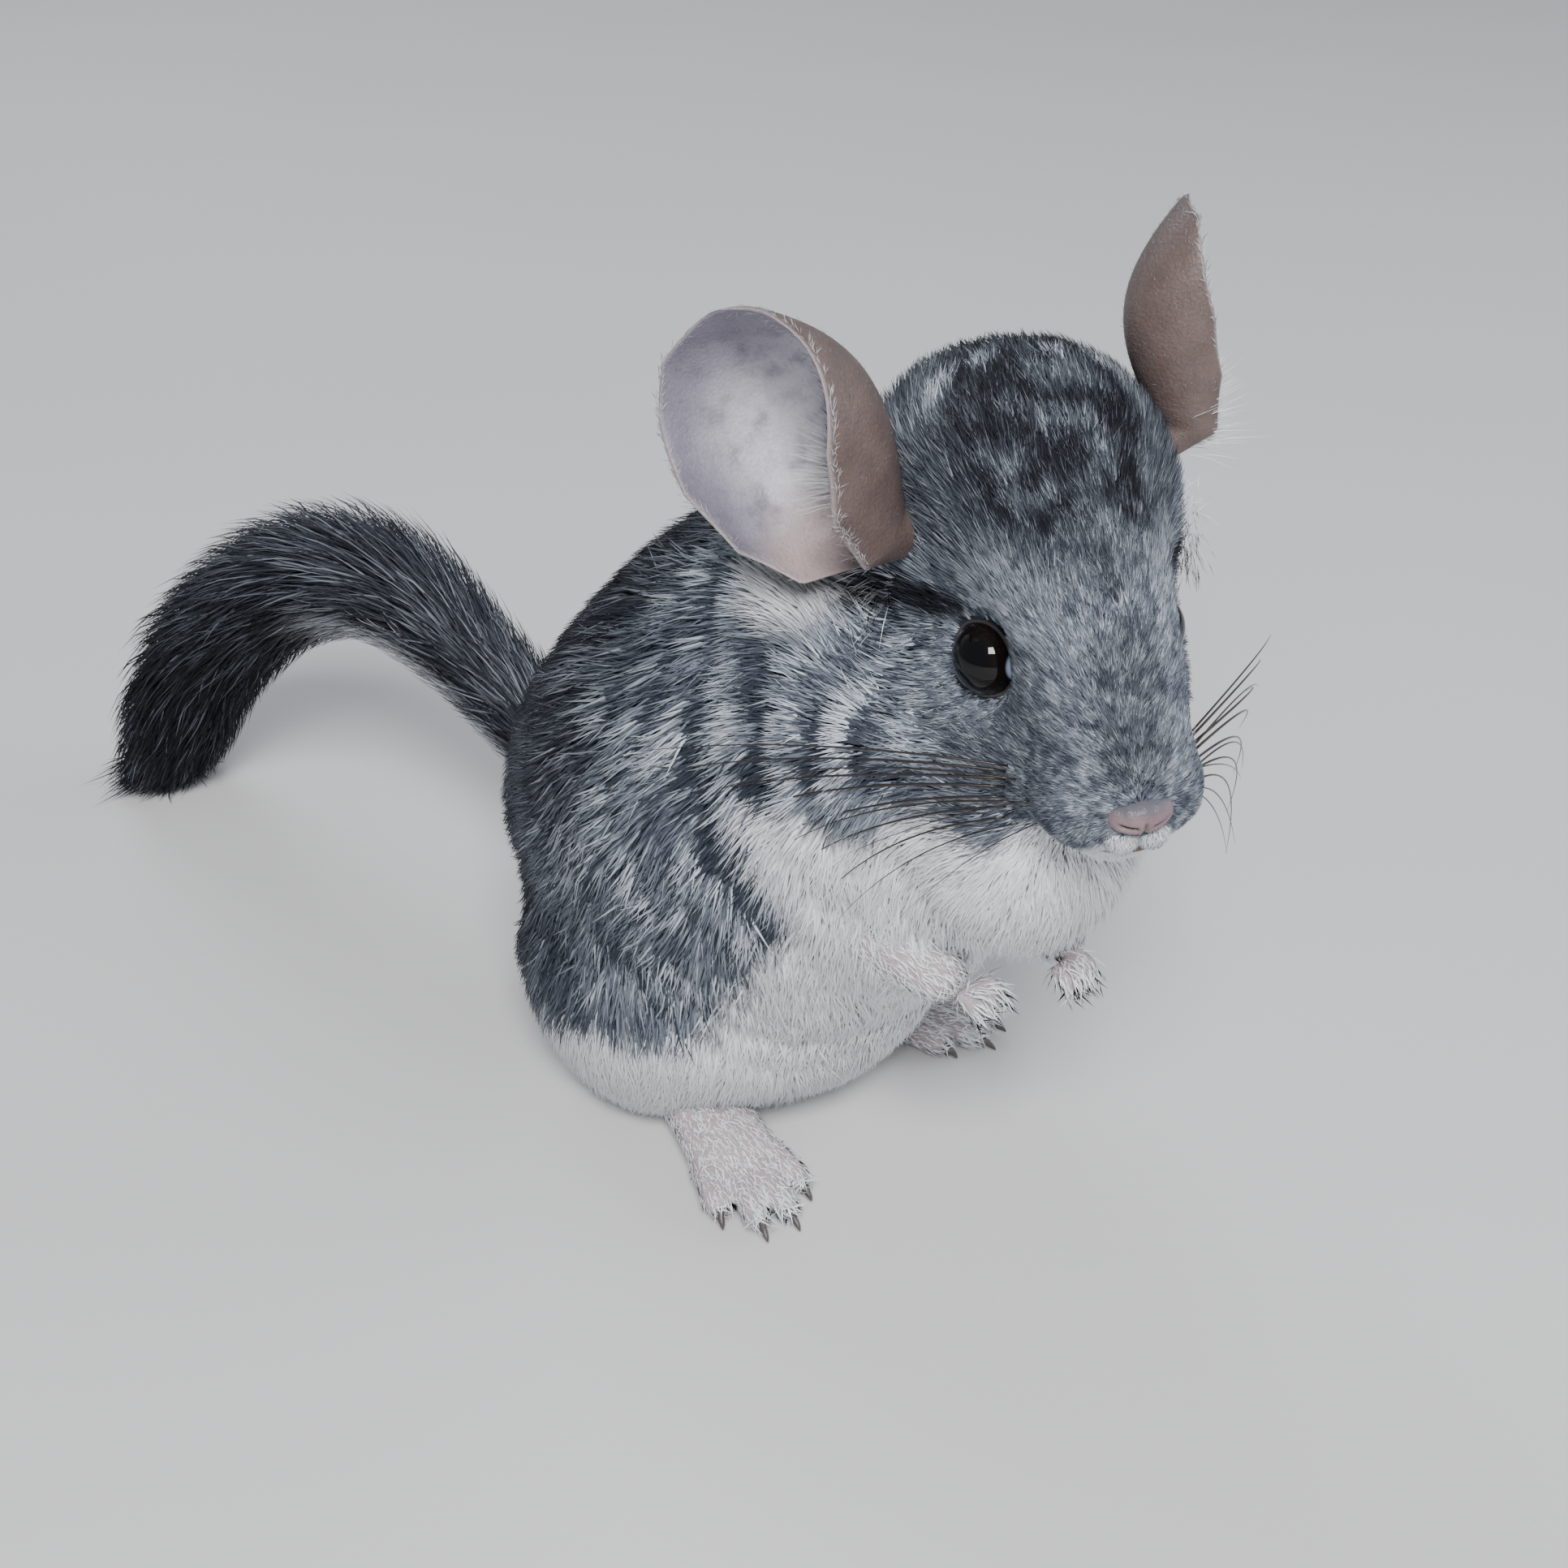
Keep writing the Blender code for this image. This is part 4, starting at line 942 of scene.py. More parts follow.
def ear_sheet(base, tip, facing, wide, bow, side, rows=72, columns=90):
    """Middle surface of an ear: at each height an arc that opens outwards, along a spine bowed backwards.

    With r and p the radius and half arc at that height, column v from -1 to 1 stands at r sin(p v) along the
    ear's breadth and r (1 - cos(p v)) towards its opening.
    """
    start, end = from_head(base), from_head(tip)
    height = np.linalg.norm(end - start)
    along = (end - start) / height
    facing = math.radians(facing)
    opening = np.array([math.sin(facing), side * math.cos(facing), 0.0]) @ HEAD_AXES
    opening = unit(opening - (opening @ along) * along)
    breadth = np.cross(along, opening)
    share = np.linspace(-ROOT_DEPTH, 1, rows)
    inside = np.clip(share, 0, 1)
    sunk = np.clip(-share / ROOT_DEPTH, 0, 1)
    radius = wide * np.interp(inside, EAR_HEIGHTS, EAR_RADII) * (1 - 0.55 * sunk)
    arc = np.radians(np.interp(inside, EAR_HEIGHTS, EAR_ARCS))
    column = np.linspace(-1, 1, columns)
    angle = arc[:, None] * column
    across = radius[:, None] * np.sin(angle)
    set_back = bow * np.sin(np.pi * inside) + ROOT_INSET * sunk
    outside = radius[:, None] * (1 - np.cos(angle)) - set_back[:, None]
    spine = start + (share * height)[:, None] * along
    points = spine[:, None] + across[..., None] * breadth + outside[..., None] * opening
    return points, np.stack(np.meshgrid(column, share, indexing="xy"), -1), opening


def ear_shell(sheet, opening):
    """Closed shell about the sheet, thin at its rim, and for each point whether it faces the opening."""
    rows, columns = sheet.shape[:2]
    normal = unit(np.cross(np.gradient(sheet, axis=0), np.gradient(sheet, axis=1)))
    if (normal[rows // 2, columns // 2] @ opening) < 0:
        normal = -normal
    down = np.abs(np.linspace(-1, 1, rows))[:, None]
    over = np.abs(np.linspace(-1, 1, columns))[None]
    size = EAR_THICK / 2 * np.sqrt(np.maximum(1 - np.maximum(down, over) ** 12, 0))
    inner = np.zeros((rows, columns), bool)
    inner[1:-1, 1:-1] = True
    front = sheet + size[..., None] * normal
    rear = sheet - size[..., None] * normal
    number = np.arange(rows * columns).reshape(rows, columns)
    behind = number.copy()
    behind[inner] = rows * columns + np.arange(inner.sum())
    points = np.concatenate([front.reshape(-1, 3), rear[inner]])
    faces = []
    for layer, turn in ((number, 1), (behind, -1)):
        a, b, c, d = layer[:-1, :-1], layer[1:, :-1], layer[1:, 1:], layer[:-1, 1:]
        faces += [np.stack(corners, -1).reshape(-1, 3)[:, ::turn] for corners in ((a, b, c), (a, c, d))]
    points, faces = outward(points, np.concatenate(faces))
    facing = np.concatenate([np.ones(rows * columns), -np.ones(inner.sum())])
    return points, faces, facing, normal


def build_ear(name, side, sizes):
    """A thin round cup with its place on the sheet kept for its material, and what its down grows on."""
    sheet, place, opening = ear_sheet(side=side, **sizes)
    points, faces, facing, normal = ear_shell(sheet, opening)
    obj = mesh_object(name, points, faces)
    inner = place[1:-1, 1:-1].reshape(-1, 2)
    flat = np.concatenate([place.reshape(-1, 2), inner])
    set_vectors(obj, "ear", np.column_stack([flat, facing]))
    return obj, (sheet, normal)


# White tufts about the left ear in the head frame, mirrored for the right: root, the way they point,
# spread, length and number.
EAR_TUFTS_AT = (
    ((-22, 24, 2), (-0.75, 0.20, -0.6), 4.0, 6.5, 420),
    ((-24, 24.5, 19), (-0.15, 0.85, 0.5), 2.4, 10.5, 220),
)


def grow_ear_down(ears):
    """Fine down on both sides of the ears, a fringe along their edges and white tufts at their base."""
    chance = np.random.default_rng(10)
    kinds = []
    for number, (sheet, normal) in enumerate(ears):
        rows, columns = sheet.shape[:2]
        side = (-1, 1)[number]
        for count, fringe in ((EAR_DOWN, False), (EAR_DOWN // 6, True)):
            across, share = chance.random(count), chance.random(count)
            across = np.where(fringe, np.where(across < 0.7, 0.995, 0.0), across)
            row = ((0.23 + 0.76 * share) * (rows - 2)).astype(int)
            column = (across * (columns - 2)).astype(int)
            root = mix(sheet[row, column], sheet[row + 1, column + 1], chance.random((count, 1)))
            face = np.where(chance.random(count) < 0.5, 1.0, -1.0)[:, None]
            out = face * normal[row, column]
            upward = unit(sheet[row + 1, column] - sheet[row, column])
            way = unit(upward + 0.4 * chance.standard_normal(root.shape) + 0.35 * out)
            length = np.where(fringe, 1.7, 0.75) * chance.uniform(0.7, 1.3, count)
            pale = np.where(fringe, 0.6, np.where(face[:, 0] > 0, 0.25, 0.0))
            unwrap = np.stack([(number + across) / 2, share], -1)
            kinds.append((root + (EAR_THICK / 2 - 0.1) * out, way, length, out, pale, unwrap))
        for middle, way, spread, length, count in EAR_TUFTS_AT:
            scatter = spread * np.clip(chance.standard_normal((count, 3)), -1.6, 1.6) * (1, 0.4, 1)
            root = from_head((np.array(middle) + scatter) * (1, side, 1))
            fan = np.array(way) + 0.17 * chance.standard_normal((count, 3)) + 0.3 * scatter / spread
            way = unit(fan * (1, side, 1) @ HEAD_AXES)
            out = unit(np.cross(way, np.cross(UP, way)))
            reach = length * chance.uniform(0.55, 1.15, count)
            unwrap = np.stack([(number + chance.random(count)) / 2, np.full(count, 0.02)], -1)
            kinds.append((root, way, reach, out, np.full(count, 1.0), unwrap))
    roots, ways, lengths, normals, pale, unwraps = map(np.concatenate, zip(*kinds))
    tips = roots + lengths[:, None] * (ways - 0.05 * UP)
    bends = roots + 0.5 * lengths[:, None] * unit(ways + 0.15 * normals)
    width = 0.026 + 0.009 * lengths
    marks = np.column_stack([pale, 0 * pale, 0 * pale])
    arrays = ((roots, bends, tips, normals, width), marks, chance.uniform(0.3, 0.8, len(roots)))
    return in_pieces("coat_ears", unwraps[:, 1], ((0.45, 1.0),), unwraps, arrays)


def tube(line, radius, spokes=8):
    """Closed tube along a line of points, as wide as the radius at each of them."""
    ahead = unit(np.gradient(line, axis=0))
    side = unit(np.cross(ahead, UP + 0.01))
    above = np.cross(side, ahead)
    angle = np.linspace(0, 2 * np.pi, spokes, endpoint=False)
    ring = np.cos(angle)[:, None] * side[:, None] + np.sin(angle)[:, None] * above[:, None]
    grid = line[:, None] + np.asarray(radius)[:, None, None] * ring
    ends = line[[0, -1], None] + 0 * ring[:2]
    return closed_grid(np.concatenate([ends[:1], grid, ends[1:]]))


def build_lids():
    """A ring of bare skin round each eye, drawn out to a corner before and behind it."""
    turns, spokes, thick = 72, 14, 0.38
    rings = []
    for side in SIDES.values():
        axis = eye_axis(side)
        across = unit(np.cross(axis, UP))
        above = np.cross(axis, across)
        forward = unit(across_of(HEAD_AXES[0], axis))
        turn = np.linspace(0, 2 * np.pi, turns, endpoint=False)
        around = np.cos(turn)[:, None] * across + np.sin(turn)[:, None] * above
        corner = np.abs(around @ unit(forward - 0.35 * HEAD_AXES[2])) ** 8
        radius = 5.45 + 0.5 * corner
        angle = np.linspace(0, 2 * np.pi, spokes, endpoint=False)
        wide = (radius[:, None] + thick * np.cos(angle))[..., None]
        high = (SKIN_AT_EYE + 0.1 + thick * np.sin(angle) - 0.6 * corner[:, None])[..., None]
        points = (eye_middle(side) + wide * around[:, None] + high * axis).reshape(-1, 3)
        number = np.arange(len(points)).reshape(turns, spokes)
        ahead, beside = np.roll(number, -1, axis=0), np.roll(number, -1, axis=1)
        both = np.roll(ahead, -1, axis=1)
        corners = ((number, ahead, both), (number, both, beside))
        faces = [np.stack(corner, -1).reshape(-1, 3) for corner in corners]
        rings.append(outward(points, np.concatenate(faces)))
    return mesh_object("lids", *merged(rings))


def build_eye(name, side):
    """A ball, with the place of each point about its axis kept for its material."""
    across = unit(across_of(HEAD_AXES[0], eye_axis(side)))
    axes = np.stack([across, np.cross(eye_axis(side), across), eye_axis(side)])
    points, faces = closed_grid(ball(eye_middle(side), [EYE_RADIUS] * 3, axes, 48, 64))
    obj = mesh_object(name, points, faces)
    set_vectors(obj, "eye", (points - eye_middle(side)) @ axes.T / EYE_RADIUS * (1, side, 1))
    return obj


def build_nose():
    """The bare pad: half an ellipsoid with a groove down its middle and a curved nostril in each half."""
    middle, radii = np.array([28.4, 0.0, -11.4]), np.array([3.3, 4.8, 3.0])
    grid = ball((0, 0, 0), (1, 1, 1), rings=80, spokes=120)
    across, high = grid[..., 1], grid[..., 2]
    groove = np.exp(-((across / 0.07) ** 2)) * smooth_step(-high, -0.25, 0.2)
    slit = -0.42 + 0.55 * (np.abs(across) - 0.45) ** 2 + 0.30 * np.abs(across)
    nostril = np.exp(-(((high - slit) / 0.13) ** 2)) * smooth_step(np.abs(across), 0.18, 0.32)
    nostril *= 1 - smooth_step(np.abs(across), 0.72, 0.86)
    fold = 0.05 * np.cos(14 * across) * smooth_step(high, 0.0, 0.5)
    size = 1 - 0.14 * groove - 0.32 * nostril + 0.5 * fold - 0.1 * smooth_step(high, 0.55, 1.0)
    at = middle + grid * radii * size[..., None]
    points, faces = closed_grid(from_head(at))
    obj = mesh_object("nose", points, faces)
    inner = closed_grid(np.stack([groove, nostril, high], -1))[0]
    set_vectors(obj, "nose", inner)
    return obj


def grow_lobes():
    """The two white lobes of the upper lip under the nose, furred all over."""
    chance = np.random.default_rng(11)
    shapes, outs = [], []
    for side in SIDES.values():
        points, faces = closed_grid(head_ball(LOBE[0], LOBE[1], side))
        forward, left, up = LOBE[0]
        outs.append(unit(points - from_head((forward, left * side, up))))
        shapes.append((points, faces))
    points, faces = merged(shapes)
    surface = dict(points=points, normals=np.concatenate(outs), faces=faces)
    obj = mesh_object("lip_lobes", points, faces)
    set_vectors(obj, "marks", np.tile((1.0, 0.0, 0.0), (len(points), 1)))
    places, normals = scattered(surface, np.ones(len(points)), LOBE_TUFTS, chance)
    way = np.array([0.15, 0.0, -1.0]) @ HEAD_AXES
    way = unit(across_of(way + 0.3 * chance.standard_normal(places.shape), normals))
    reach = chance.uniform(0.9, 1.7, LOBE_TUFTS)[:, None]
    roots = places - 0.2 * normals
    bends = places + 0.4 * reach * way + 0.4 * normals
    tips = places + reach * way + 0.3 * normals
    marks = np.tile((0.62, 0.0, 0.0), (LOBE_TUFTS, 1))
    tufts = (roots, bends, tips, normals, np.full(LOBE_TUFTS, 0.11))
    arrays = (tufts, marks, chance.random(LOBE_TUFTS))
    unwrap = head_unwrap(places)
    return obj, in_pieces("coat_lip", unwrap[:, 1], ((0.45, 1.0),), unwrap, arrays)


def build_lips():
    """The edge of the upper lip, from the cleft under the nose out to both corners of the mouth."""
    place = np.linspace(-8.5, 8.5, 60)
    line = from_head(np.stack([27.6 - 0.115 * place**2, place, -18.4 - 0.03 * place**2], -1))
    radius = 0.45 * np.sqrt(np.maximum(1 - (place / 8.6) ** 4, 0.02))
    return mesh_object("lips", *tube(line, radius, 12))


def build_claws():
    """Short curved claws, one at the end of each hind toe."""
    rows = ((0.75, 3.2, 0.9, 1.0), (1.02, 2.9, 0.75, 0.85), (1.2, 2.1, 0.5, 0.55), (1.3, 1.3, 0.15, 0.15))
    shapes = []
    for name in SIDES:
        shapes += [closed_grid(sweep(toe_rows(name, toe, rows), 20, 12, (0.1, 0.1))) for toe in HIND_TOES]
    return mesh_object("claws", *merged(shapes))


# Whiskers in the head frame, mirrored for the right: root, a point midway, the tip, half width at the root.
WHISKERS = (
    ((12.6, 13.9, -11.2), (-3, 41, -12), (-25, 63, -23), 0.17),
    ((12.2, 14.1, -12.4), (-4, 41, -15), (-28, 62, -30), 0.20),
    ((12.4, 14.2, -13.6), (-3, 40, -18), (-30, 60, -37), 0.21),
    ((12.4, 14.3, -15.0), (-3, 39, -21), (-28, 57, -43), 0.21),
    ((12.6, 14.4, -16.6), (-2, 37, -25), (-24, 53, -49), 0.19),
    ((12.8, 14.3, -18.2), (0, 35, -28), (-19, 48, -53), 0.17),
    ((13.0, 14.5, -20.0), (2, 32, -31), (-12, 43, -56), 0.15),
    ((14.8, 13.4, -12.2), (2, 35, -14), (-14, 52, -25), 0.15),
    ((14.8, 13.6, -16.2), (3, 33, -22), (-12, 47, -39), 0.15),
    ((15.5, 13.4, -19.5), (7, 27, -29), (-1, 38, -45), 0.12),
    ((18.0, 12.4, -14.0), (12, 25, -19), (2, 37, -30), 0.10),
    ((19.5, 11.8, -17.0), (15, 21, -25), (8, 30, -39), 0.09),
)
# How far the whiskers spread out on each side, where the turned head leaves less room on the left.
SPREAD = {"right": 1.0, "left": 0.58}


def build_whiskers():
    """Fine bent tubes that fan back from each side of the muzzle and taper to a point."""
    place = np.linspace(0, 1, 28)[:, None]
    shapes = []
    for name, side in SIDES.items():
        for root, midway, tip, width in WHISKERS:
            line = np.array([root, midway, tip], float)
            line[:, 1] = side * mix(root[1], line[:, 1], SPREAD[name])
            root, midway, tip = from_head(line)
            bend = 2 * midway - 0.5 * (root + tip)
            line = (1 - place) ** 2 * root + 2 * place * (1 - place) * bend + place**2 * tip
            shapes.append(tube(line, width * (1 - place[:, 0]) ** 0.7 + 0.02, 6))
    return mesh_object("whiskers", *merged(shapes))


class Value:
    """One output of a node. Operators on it add Math nodes."""

    def __init__(self, finish, socket):
        self.finish, self.socket = finish, socket

    def math(self, operation, *values):
        return self.finish.node("ShaderNodeMath", dict(operation=operation), dict(enumerate(values)))

    def __add__(self, other):
        return self.math("ADD", self, other)

    def __sub__(self, other):
        return self.math("SUBTRACT", self, other)

    def __rsub__(self, other):
        return self.math("SUBTRACT", other, self)

    def __mul__(self, other):
        return self.math("MULTIPLY", self, other)

    def size(self):
        """The value without its sign."""
        return self.math("ABSOLUTE", self)

    __radd__, __rmul__ = __add__, __mul__

    def rise(self, start, end):
        """0 before start, 1 after end, and a smooth rise between them."""
        settings = dict(interpolation_type="SMOOTHSTEP")
        return self.finish.node("ShaderNodeMapRange", settings, {0: self, 1: start, 2: end, 3: 0.0, 4: 1.0})


class Finish:
    """A material. Every node in it comes from the node method."""

    def __init__(self, name, roughness, **shader):
        self.material = bpy.data.materials.new(name)
        self.material.use_nodes = True
        self.tree = self.material.node_tree
        self.shader = self.tree.nodes["Principled BSDF"]
        self.shader.inputs["Roughness"].default_value = roughness
        for socket, value in shader.items():
            self.shader.inputs[socket.replace("_", " ").title().replace("Ior", "IOR")].default_value = value

    def node(self, kind, settings=None, values=None, output=0):
        """One node: first its settings, then the values or links of its sockets. Gives the chosen output."""
        made = self.tree.nodes.new(kind)
        for name, value in (settings or {}).items():
            setattr(made, name, value)
        for place, value in (values or {}).items():
            if isinstance(value, Value):
                self.tree.links.new(value.socket, made.inputs[place])
            else:
                made.inputs[place].default_value = value
        return Value(self, made.outputs[output])

    def colour(self, value):
        """A colour as four numbers, or the colour of another node."""
        return value if isinstance(value, Value) else (*value, 1.0)

    def blend(self, first, second, share, way="MIX"):
        """Mixes two colours by share."""
        settings = dict(data_type="RGBA", blend_type=way)
        values = {0: share, 6: self.colour(first), 7: self.colour(second)}
        return self.node("ShaderNodeMix", settings, values, 2)

    def scaled(self, colour, amount):
        """A colour made lighter or darker by an amount."""
        vector = self.node("ShaderNodeCombineXYZ", None, {0: amount, 1: amount, 2: amount})
        return self.blend(colour, vector, 1.0, "MULTIPLY")

    def parts(self, name):
        """The three numbers that are kept under a name for each point of the mesh."""
        kept = self.node("ShaderNodeAttribute", dict(attribute_name=name), None, "Vector")
        split = self.node("ShaderNodeSeparateXYZ", None, {0: kept})
        return [Value(self, split.socket.node.outputs[part]) for part in range(3)]

    def noise(self, per_metre, detail=2.0):
        """Noise from 0 to 1 in the piece's own frame, with so many cells to a metre."""
        place = self.node("ShaderNodeTexCoord", None, None, "Object")
        return self.node("ShaderNodeTexNoise", None, {"Vector": place, "Scale": per_metre, "Detail": detail})

    def finished(self, colour, height=None, strength=0.5, distance=0.0005):
        """The material, with its colour and its bumps from a height."""
        self.tree.links.new(colour.socket, self.shader.inputs["Base Color"])
        if height is not None:
            values = {"Height": height, "Strength": strength, "Distance": distance}
            bump = self.node("ShaderNodeBump", None, values)
            self.tree.links.new(bump.socket, self.shader.inputs["Normal"])
        return self.material


# Colours of the coat where it is grey, white and dark.
GREY_ROOT, GREY_DARK = (0.022, 0.027, 0.038), (0.040, 0.048, 0.066)
GREY_HAIR, GREY_LIGHT = (0.165, 0.188, 0.232), (0.60, 0.64, 0.70)
WHITE_ROOT, WHITE_HAIR = (0.55, 0.57, 0.62), (0.90, 0.915, 0.94)
DARK_HAIR, DARK_LIGHT = (0.010, 0.011, 0.015), (0.12, 0.135, 0.165)


def coat_finish():
    """Hair that is slate at the root, then dark to light, and white or black where it is marked so."""
    finish = Finish("coat", 0.7, specular_ior_level=0.12)
    along, shade, _ = finish.parts("hair")
    pale, dark, _ = finish.parts("marks")
    grey = finish.blend(GREY_DARK, GREY_HAIR, shade.rise(0.1, 0.55))
    grey = finish.blend(grey, GREY_LIGHT, shade.rise(0.5, 1.15))
    grey = finish.blend(GREY_ROOT, grey, along.rise(0.05, 0.5))
    black = finish.blend(DARK_HAIR, DARK_LIGHT, shade.rise(0.55, 1.2) * along.rise(0.0, 0.5))
    white = finish.blend(WHITE_ROOT, WHITE_HAIR, along.rise(0.0, 0.5))
    white = finish.scaled(white, 0.86 + 0.14 * shade.rise(0.0, 1.0))
    colour = finish.blend(grey, black, dark)
    colour = finish.blend(colour, white, pale)
    return finish.finished(colour)


def skin_finish():
    """Skin under the coat: slate or pale grey as the coat above it, pink-grey and wrinkled on the paws."""
    finish = Finish("skin", 0.75, specular_ior_level=0.15)
    pale, dark, _ = finish.parts("marks")
    bare, _, _ = finish.parts("bare")
    fine = finish.noise(2600.0, 3.0)
    coarse = finish.noise(420.0, 2.0)
    colour = finish.blend((0.035, 0.042, 0.058), (0.36, 0.39, 0.45), pale)
    colour = finish.blend(colour, (0.012, 0.014, 0.018), dark)
    paw = finish.blend((0.34, 0.27, 0.29), (0.55, 0.50, 0.53), coarse)
    colour = finish.blend(colour, paw, bare)
    colour = finish.scaled(colour, 0.75 + 0.5 * fine)
    return finish.finished(colour, fine + 0.6 * coarse, 0.5, 0.0006)


def ear_finish():
    """Thin grey-lilac skin, pale in the cup, tan on its walls and pink at its base, with fine wrinkles."""
    finish = Finish("ear", 0.5, subsurface_weight=0.15, subsurface_radius=(0.004, 0.002, 0.0015))
    column, share, facing = finish.parts("ear")
    mottle = finish.noise(240.0, 3.0)
    fine = finish.noise(1900.0, 3.0)
    inside = facing.rise(-0.3, 0.3)
    middle = (1 - share.rise(0.45, 0.95)) * (1 - column.size().rise(0.35, 0.95))
    cup = finish.blend((0.115, 0.105, 0.14), (0.26, 0.245, 0.31), mottle)
    cup = finish.blend(cup, (0.58, 0.56, 0.62), middle * mottle.rise(0.1, 0.6))
    wall = finish.blend((0.085, 0.060, 0.056), (0.16, 0.115, 0.105), mottle)
    colour = finish.blend(wall, cup, inside)
    lobe = finish.blend((0.36, 0.28, 0.27), (0.52, 0.43, 0.43), mottle)
    colour = finish.blend(colour, lobe, (1 - share.rise(0.05, 0.26)) * inside)
    rim = column.size().rise(0.955, 1.0)
    colour = finish.blend(colour, (0.40, 0.34, 0.33), rim * 0.6)
    return finish.finished(finish.scaled(colour, 0.8 + 0.4 * fine), fine + mottle, 0.35, 0.0005)


def eye_finish():
    """A black wet eye with a faint brown iris and a pale sliver in its front lower corner."""
    finish = Finish("eye", 0.03, specular_ior_level=0.28)
    ahead, beside, out = finish.parts("eye")
    iris = (ahead * ahead + beside * beside).rise(0.25, 0.75)
    colour = finish.blend((0.002, 0.002, 0.0025), (0.010, 0.006, 0.004), iris * finish.noise(900.0))
    white = (ahead - 0.30 * beside).rise(0.93, 0.985)
    return finish.finished(finish.blend(colour, (0.42, 0.50, 0.72), white))


def nose_finish():
    """Pink-brown moist skin with a fine grain, with painted shade inside the nostrils and along the groove.
    """
    finish = Finish("nose", 0.42)
    groove, nostril, high = finish.parts("nose")
    grain = finish.noise(3000.0, 2.0)
    mottle = finish.noise(500.0, 2.0)
    colour = finish.blend((0.15, 0.10, 0.115), (0.27, 0.19, 0.205), mottle)
    colour = finish.blend(colour, (0.11, 0.105, 0.13), high.rise(0.15, 0.7))
    # Painted shade in the hollows: near black inside the nostrils and darker along the groove.
    colour = finish.blend(colour, (0.02, 0.012, 0.014), nostril.rise(0.25, 0.8))
    colour = finish.blend(colour, (0.08, 0.045, 0.05), groove * 0.8)
    return finish.finished(colour, grain, 0.4, 0.0003)


def plain_skin_finish(name, low, high, roughness, per_metre):
    """Bare skin or horn between two colours, with a fine grain."""
    finish = Finish(name, roughness)
    grain = finish.noise(per_metre, 3.0)
    return finish.finished(finish.blend(low, high, grain), grain, 0.3, 0.0003)


def whisker_finish():
    """Black glossy bristle, a little browner in places."""
    finish = Finish("whisker", 0.3)
    return finish.finished(finish.blend((0.006, 0.006, 0.008), (0.03, 0.02, 0.015), finish.noise(300.0)))


def floor_finish():
    """Pale matt studio paper."""
    finish = Finish("floor", 0.9)
    return finish.finished(finish.blend((0.62, 0.62, 0.63), (0.66, 0.66, 0.67), finish.noise(6.0)))


def dress(obj, material, slot, *nodes):
    """Gives a piece its material, lets it ride on the animal and stand for CAD nodes."""
    obj.data.materials.clear()
    obj.data.materials.append(material)
    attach(obj, "root")
    if nodes:
        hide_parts(*nodes)


def build_animal():
    """Makes every piece of the animal."""
    coat_points, paw_points = coat_surface(), paw_surface()
    limb_nodes = [f"{limb}_{side}" for limb in ("foreleg", "hind_leg", "hind_foot") for side in SIDES]
    tail_nodes = ["tail_base", "tail_middle", "tail_tip"]
    skin = build_skin(coat_points, paw_points)
    skin_look = skin_finish()
    dress(skin, skin_look, "coat", "head", "neck", "torso", *limb_nodes, *tail_nodes)
    coat = coat_finish()
    for piece in grow_coat(coat_points):
        dress(piece, coat, "coat")
    for piece in grow_tail():
        dress(piece, coat, "tail")
    for piece in grow_paws(paw_points):
        dress(piece, coat, "foot" if "feet" in piece.name else "paw")
    ear_skin, grounds = ear_finish(), []
    for name, side in SIDES.items():
        ear, ground = build_ear("ear_skin_" + name, side, EARS[name])
        dress(ear, ear_skin, "ear", "ear_" + name)
        grounds.append(ground)
    for piece in grow_ear_down(grounds):
        dress(piece, coat, "ear")
    wet = eye_finish()
    for name, side in SIDES.items():
        dress(build_eye("eyeball_" + name, side), wet, "eye", "eye_" + name)
    lid_skin = plain_skin_finish("lid", (0.012, 0.011, 0.013), (0.05, 0.045, 0.05), 0.45, 2500.0)
    dress(build_lids(), lid_skin, "eye")
    dress(build_nose(), nose_finish(), "coat")
    lobes, lobe_coat = grow_lobes()
    dress(lobes, skin_look, "coat")
    for piece in lobe_coat:
        dress(piece, coat, "coat")
    lip_skin = plain_skin_finish("lip", (0.05, 0.03, 0.028), (0.13, 0.085, 0.08), 0.55, 1800.0)
    dress(build_lips(), lip_skin, "coat")
    horn = plain_skin_finish("claw", (0.03, 0.026, 0.028), (0.12, 0.10, 0.10), 0.35, 1500.0)
    dress(build_claws(), horn, "foot")
    dress(build_whiskers(), whisker_finish(), "coat")


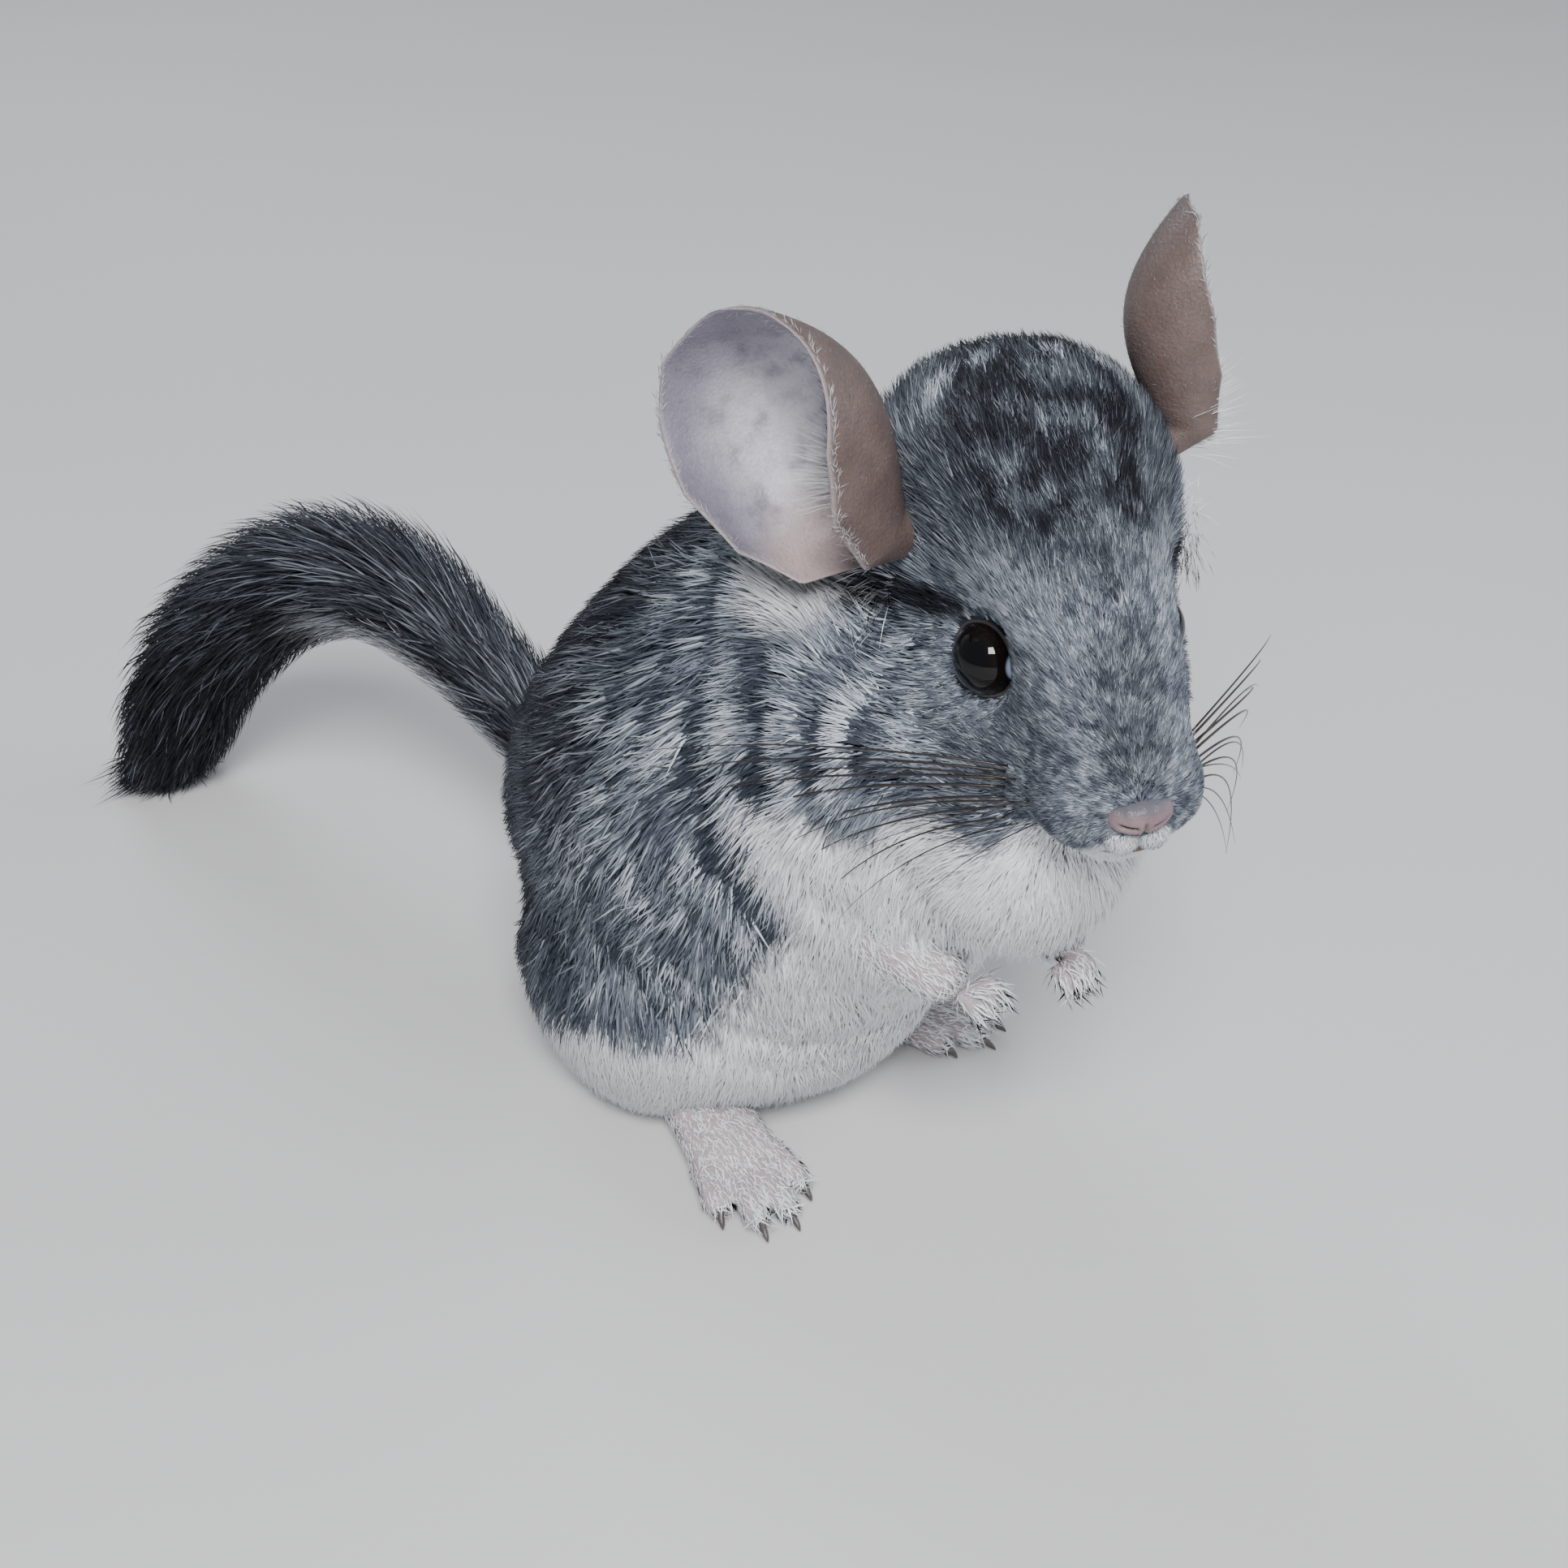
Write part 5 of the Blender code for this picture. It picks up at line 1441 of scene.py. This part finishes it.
def build_floor():
    """A wide plain floor under the animal."""
    corner = 9000.0
    across = np.linspace(-corner, corner, 3)
    grid = np.stack(np.meshgrid(across, across, indexing="xy") + [np.zeros((3, 3))], -1).reshape(-1, 3)
    number = np.arange(9).reshape(3, 3)
    a, b, c, d = number[:-1, :-1], number[:-1, 1:], number[1:, 1:], number[1:, :-1]
    faces = np.concatenate([np.stack(corners, -1).reshape(-1, 3) for corners in ((a, b, c), (a, c, d))])
    floor = mesh_object("studio_floor", grid + BOX_MIDDLE, faces, smooth=False)
    floor.data.materials.append(floor_finish())


def aim(obj, place, target):
    """Sets an object down in metres so that it looks at a target with +Z up."""
    back = unit(np.asarray(place, float) - np.asarray(target, float))
    right = unit(np.cross(UP, back))
    rows = np.eye(4)
    rows[:3, 0], rows[:3, 1], rows[:3, 2], rows[:3, 3] = right, np.cross(back, right), back, place
    obj.matrix_world = Matrix(rows.tolist())


def build_light(name, place, size, power, colour):
    """A soft square lamp aimed at the animal."""
    lamp = bpy.data.lights.new(name, "AREA")
    lamp.shape = "SQUARE"
    lamp.size = size
    lamp.energy = power
    lamp.color = colour
    obj = bpy.data.objects.new(name, lamp)
    bpy.context.scene.collection.objects.link(obj)
    aim(obj, place, (0.0, -0.03, 0.08))


def build_studio():
    """Floor, soft lights, a pale surround and the camera at the photograph's place."""
    build_floor()
    build_light("key", (-0.62, -0.66, 0.95), 0.4, 21.0, (1.0, 0.99, 0.98))
    build_light("fill", (0.9, -0.7, 0.6), 0.9, 5.0, (0.95, 0.97, 1.0))
    build_light("rim", (0.3, 0.9, 0.9), 0.6, 5.0, (0.92, 0.96, 1.0))
    world = bpy.data.worlds.new("surround")
    world.use_nodes = True
    surround = world.node_tree.nodes["Background"]
    surround.inputs["Color"].default_value = (0.80, 0.84, 0.90, 1.0)
    surround.inputs["Strength"].default_value = 0.36
    bpy.context.scene.world = world
    lens = bpy.data.cameras.new("camera")
    lens.sensor_width = lens.sensor_height = SENSOR
    lens.sensor_fit = "HORIZONTAL"
    lens.lens = SENSOR * FOCAL_PIXELS / PHOTO_PIXELS
    lens.clip_start = 0.01
    camera = bpy.data.objects.new("camera", lens)
    bpy.context.scene.collection.objects.link(camera)
    place = (CAMERA_AT - BOX_MIDDLE) * MM
    azimuth, height = CAMERA_AZIMUTH, CAMERA_HEIGHT
    level = math.cos(height)
    back = np.array([math.sin(azimuth) * level, -math.cos(azimuth) * level, math.sin(height)])
    aim(camera, place, place - back)
    bpy.context.scene.camera = camera


build_animal()
build_studio()
